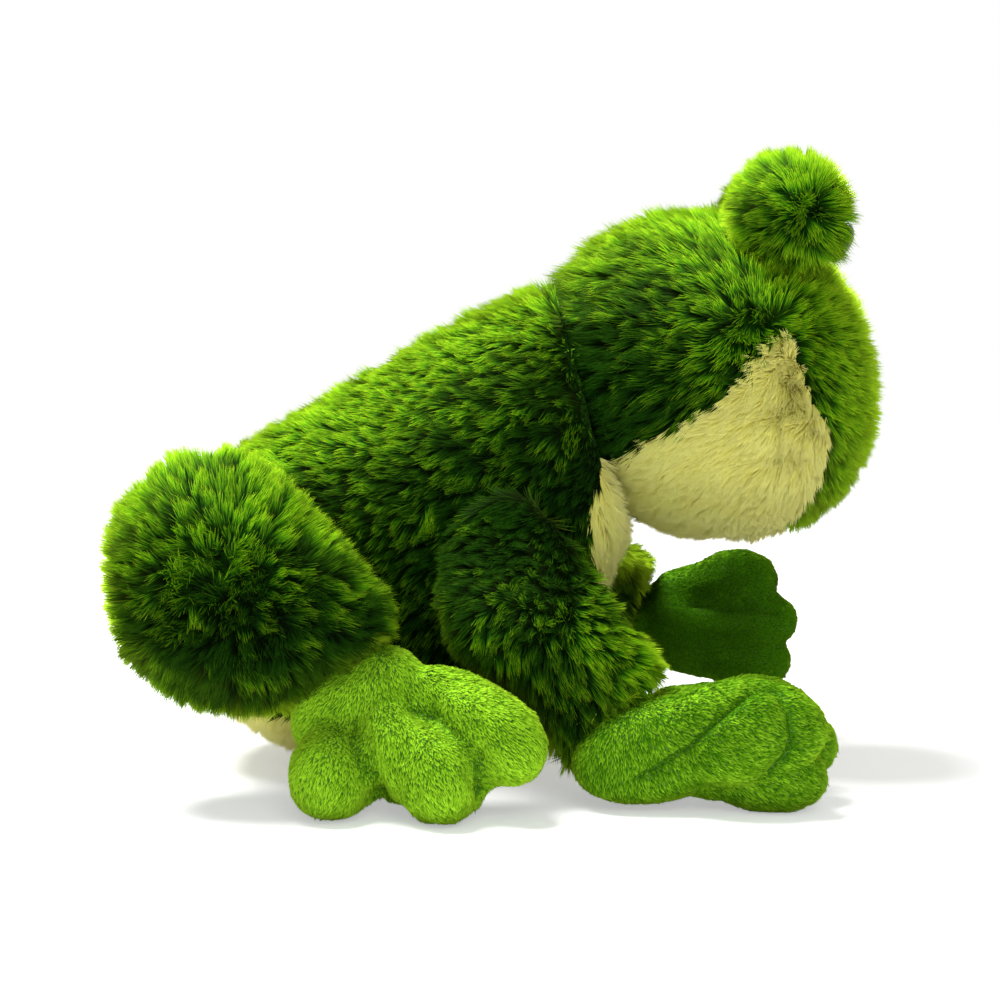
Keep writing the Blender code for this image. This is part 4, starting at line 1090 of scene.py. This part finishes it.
FOOT_CREASES = (
    ((-0.0492, 0.0326), (-0.0470, 0.0263), (-0.0426, 0.0177), (-0.0401, 0.0100), (-0.0390, 0.0020)),
    (
        (-0.0305, 0.0388), (-0.0222, 0.0347), (-0.0146, 0.0303),
        (-0.0090, 0.0246), (-0.0061, 0.0170), (-0.0055, 0.0060),
    ),
)
HAND_CREASES = (
    (
        (0.0419, 0.0123), (0.0552, 0.0221), (0.0628, 0.0298),
        (0.0707, 0.0366), (0.0773, 0.0418), (0.0830, 0.0441),
    ),
    (
        (0.0830, 0.0441), (0.0869, 0.0419), (0.0898, 0.0358),
        (0.0908, 0.0281), (0.0889, 0.0203), (0.0842, 0.0139),
    ),
)
FAR_HAND_CREASES = (((0.0690, 0.0505), (0.0816, 0.0493), (0.0895, 0.0513), (0.1010, 0.0494)),)
CREASE_DEPTH = 0.0013
CREASE_WIDTH = 0.0014
VALLEY_DEPTH = 0.0022
VALLEY_WIDTH = 0.0056
HOLLOW_DEPTH = 0.0008
FOOT_CREASE_SHARE = 1.4
SOLE_REST = 0.001

minky, minky_tree, minky_shader = finish_of("short brushed plush", 0.9)
coloured_noise(minky_tree, minky_shader, MINKY_LOW, MINKY_HIGH, MINKY_GRAIN, 3.0, 0.7)
nap_colours = (NAP_ROOT, NAP_LOW, NAP_MIDDLE, NAP_TIP)
nap_places = (0.0, 0.3, 0.7, 1.0)
nap_strands = strand_finish("short nap strands", nap_colours, nap_places, NAP_SHADE, LEAF_SHEEN, 0.5)


def crease_shares(points, outward, creases, width):
    """How near each outer point lies to a sewn crease, from 0 to 1, seen from the frog's side."""
    flat = points[:, (0, 2)]
    nearest = np.full(len(points), 1.0)
    for crease in creases:
        for start, end in zip(crease, crease[1:]):
            start, step = np.array(start), np.array(end) - np.array(start)
            along = np.clip((flat - start) @ step / (step @ step), 0.0, 1.0)
            nearest = np.minimum(nearest, np.linalg.norm(flat - start - np.outer(along, step), axis=1))
    return np.exp(-((nearest / width) ** 2)) * np.clip(outward + 0.2, 0.0, 0.4) / 0.4


def grow_paw(part, root_joint, side, word, lobes, creases, crease_side, sewn_in, tone_shift, seed):
    """A hand or a foot, from its lobes, as centre, half sizes and dip, and its creases, as x and z."""
    skin_node = f"{part}_skin_{word}"
    placed = [(Vector((x, side * y, z)), half, dip) for (x, y, z), half, dip in lobes]
    skin = closed_form(f"{part}_{word}_cloth", [skin_node, f"{part}_filling_{word}"], HAND_VOXEL, 7, placed)
    puff(skin, HAND_PUFF, crease=0.10)
    points = points_of(skin.data)
    normals = normals_of(skin.data)
    hollow = np.clip(hollows_of(skin.data, points, normals) * 3.0, 0.0, 1.0)
    crease = crease_shares(points, normals[:, 1] * crease_side, creases, CREASE_WIDTH)
    valley = crease_shares(points, normals[:, 1] * crease_side, creases, VALLEY_WIDTH)
    sink(skin, sewn_in * (CREASE_DEPTH * crease + VALLEY_DEPTH * valley) + HOLLOW_DEPTH * hollow)
    points = points_of(skin.data)
    normals = normals_of(skin.data)
    flow = points - np.array(joints[root_joint + word]["pos_m"]) + np.array((0.0, 0.0, -0.02))
    folded = np.maximum(crease, hollow)
    inner = np.clip(-normals[:, 1] * side + 0.3, 0.0, 1.0)
    # Painted shade on the inner faces and in the creases and hollows; the whole piece's tone is also shifted,
    # darker on the hands and lighter on the feet.
    grow_pile(
        f"{part}_{word}_nap", skin, flow, f"{part}_{word}", nap_strands, NAP_PILE, seed,
        thick=np.where(points[:, 2] < SOLE_REST, 0.1, 1.0),
        trim=1.0 - 0.5 * folded,
        shade=tone_shift - 0.50 * inner - 0.35 * folded,
    )
    finish_cloth(skin, minky, f"{part}_{word}", skin_node)


for side, word in SIDES:
    hand_lobes, hand_creases = (HAND_LOBES, HAND_CREASES) if side < 0.0 else ((), FAR_HAND_CREASES)
    grow_paw("hand", "wrist_", side, word, hand_lobes, hand_creases, -1.0, 1.0, -0.20, 61 + int(side))
    grow_paw(
        "foot", "ankle_", side, word, FOOT_LOBES, FOOT_CREASES, side,
        FOOT_CREASE_SHARE, 0.22, 65 + int(side),
    )

# The eyes and their washers.
# Each eye is a black plastic dome moulded with a ribbed shank, pushed through the cloth and held from
# inside by a pressed washer.
EYE_BLACK = (0.006, 0.006, 0.006, 1.0)
EYE_BLACK_LIGHT = (0.012, 0.011, 0.010, 1.0)
EYE_GRAIN = 300.0
EYE_RADIUS = 0.007
EYE_EDGE = 0.0003
EYE_DOME = 0.004
DOME_STEPS = 12
SHANK_RADIUS = 0.002
SHANK_RIBS = 5
WASHER_WHITE = (0.72, 0.72, 0.70, 1.0)
WASHER_WHITE_LIGHT = (0.80, 0.80, 0.78, 1.0)
WASHER_GRAIN = 250.0
TURN_STEPS = 48
WELD_REACH = 0.000002


def turned_piece(name, profile, placing, material):
    """A closed profile of radius and height turned about its axis, placed by its matrix."""
    bm = bmesh.new()
    loops = []
    for step in range(TURN_STEPS):
        angle = math.tau * step / TURN_STEPS
        loops.append([bm.verts.new((r * math.cos(angle), r * math.sin(angle), h)) for r, h in profile])
    for first, second in zip(loops, loops[1:] + loops[:1]):
        for i in range(len(profile)):
            j = (i + 1) % len(profile)
            bm.faces.new((first[i], second[i], second[j], first[j]))
    bmesh.ops.remove_doubles(bm, verts=bm.verts, dist=WELD_REACH)
    bmesh.ops.dissolve_degenerate(bm, edges=bm.edges, dist=WELD_REACH)
    bmesh.ops.recalc_face_normals(bm, faces=bm.faces)
    bmesh.ops.transform(bm, matrix=placing, verts=bm.verts)
    made = in_scene(name, mesh_of(name, bm))
    made.data.materials.append(material)
    made.data.shade_smooth()
    return made


def about_axis(points, start, axis):
    """The points' heights along an axis and their distances from it."""
    offsets = points - np.array(start)
    heights = offsets @ np.array(axis)
    return heights, np.linalg.norm(offsets - np.outer(heights, np.array(axis)), axis=1)


eye_plastic, eye_tree, eye_shader = finish_of("polished black plastic", 0.16)
eye_shader.inputs["Specular IOR Level"].default_value = 0.22
coloured_noise(eye_tree, eye_shader, EYE_BLACK, EYE_BLACK_LIGHT, EYE_GRAIN)
washer_plastic, washer_tree, washer_shader = finish_of("white moulded plastic", 0.5)
coloured_noise(washer_tree, washer_shader, WASHER_WHITE, WASHER_WHITE_LIGHT, WASHER_GRAIN)

for word in ("right", "left"):
    eye_points = points_of(nodes["eye_" + word].data)
    washer_points = points_of(nodes["eye_washer_" + word].data)
    washer_at = Vector(washer_points.mean(axis=0))
    look = (Vector(eye_points.mean(axis=0)) - washer_at).normalized()
    placing = look.to_track_quat("Z", "Y").to_matrix().to_4x4()
    placing.translation = washer_at

    heights, radii = about_axis(eye_points, washer_at, look)
    shank_end = float(heights.min())
    dome_floor = float(heights[radii > EYE_RADIUS * 0.8].min())
    rib_pitch = (dome_floor - shank_end) / SHANK_RIBS
    outline = [(0.0, shank_end)]
    for rib in range(SHANK_RIBS):
        outline.append((SHANK_RADIUS * 0.86, shank_end + rib_pitch * rib))
        outline.append((SHANK_RADIUS, shank_end + rib_pitch * (rib + 0.7)))
    outline += [(SHANK_RADIUS, dome_floor), (EYE_RADIUS * 0.97, dome_floor)]
    for step in range(DOME_STEPS):
        angle = math.pi / 2 * step / DOME_STEPS
        rise = EYE_EDGE + EYE_DOME * math.sin(angle)
        outline.append((EYE_RADIUS * math.cos(angle), dome_floor + rise))
    outline.append((0.0, dome_floor + EYE_EDGE + EYE_DOME))
    eye = turned_piece(f"eye_{word}_button", outline, placing, eye_plastic)
    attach(eye, "head")
    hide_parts("eye_" + word)

    heights, radii = about_axis(washer_points, washer_at, look)
    bottom, top = float(heights.min()), float(heights.max())
    inner, outer = float(radii.min()), float(radii.max())
    rim = (top - bottom) * 0.2
    outline = [(inner, bottom + rim), (inner + rim, bottom), (outer - rim, bottom), (outer, bottom + rim)]
    outline += [(outer, top - rim), (outer - rim, top), (inner + rim * 4, top)]
    outline += [(inner + rim * 3, top - rim), (inner, top - rim)]
    washer = turned_piece(f"eye_{word}_washer_ring", outline, placing, washer_plastic)
    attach(washer, "head")
    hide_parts("eye_washer_" + word)

# The neck gathering thread.
# Strong green polyester thread, laid in two plies, runs round the neck opening, draws it in and holds the
# head on. It lies deep in the crease under the pile.
THREAD_GREEN = (0.045, 0.150, 0.010, 1.0)
THREAD_GREEN_LIGHT = (0.080, 0.230, 0.020, 1.0)
THREAD_GRAIN = 1200.0
THREAD_SETTLE = 0.0045
THREAD_TURNS = 90
THREAD_STEPS = 720
PLY_RADIUS = 0.00042
PLY_OFFSET = 0.00036

thread_points = points_of(nodes["neck_gathering_thread"].data)
thread_at = thread_points.mean(axis=0)
thread_radius = float(np.linalg.norm(thread_points - thread_at, axis=1).mean()) - THREAD_SETTLE
across = np.array((0.0, 1.0, 0.0))
upward = np.cross(neck_axis, across)
plies = bpy.data.curves.new("neck thread", "CURVE")
plies.dimensions = "3D"
plies.bevel_depth = PLY_RADIUS
plies.bevel_resolution = 1
for ply in (0.0, math.pi):
    spline = plies.splines.new("POLY")
    spline.points.add(THREAD_STEPS - 1)
    for step, point in enumerate(spline.points):
        angle = math.tau * step / THREAD_STEPS
        twist = angle * THREAD_TURNS + ply
        outward = across * math.cos(angle) + upward * math.sin(angle)
        offset = outward * math.cos(twist) * PLY_OFFSET + neck_axis * math.sin(twist) * PLY_OFFSET
        point.co = (*(thread_at + outward * thread_radius + offset), 1.0)
    spline.use_cyclic_u = True
route = in_scene("neck thread route", plies)
graph = bpy.context.evaluated_depsgraph_get()
thread = in_scene("neck_thread", bpy.data.meshes.new_from_object(route.evaluated_get(graph)))
bpy.data.objects.remove(route)
thread_dye, thread_tree, thread_shader = finish_of("green sewing thread", 0.6)
coloured_noise(thread_tree, thread_shader, THREAD_GREEN, THREAD_GREEN_LIGHT, THREAD_GRAIN)
thread.data.materials.clear()
thread.data.materials.append(thread_dye)
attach(thread, "neck")
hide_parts("neck_gathering_thread")

bpy.data.objects.remove(strand)
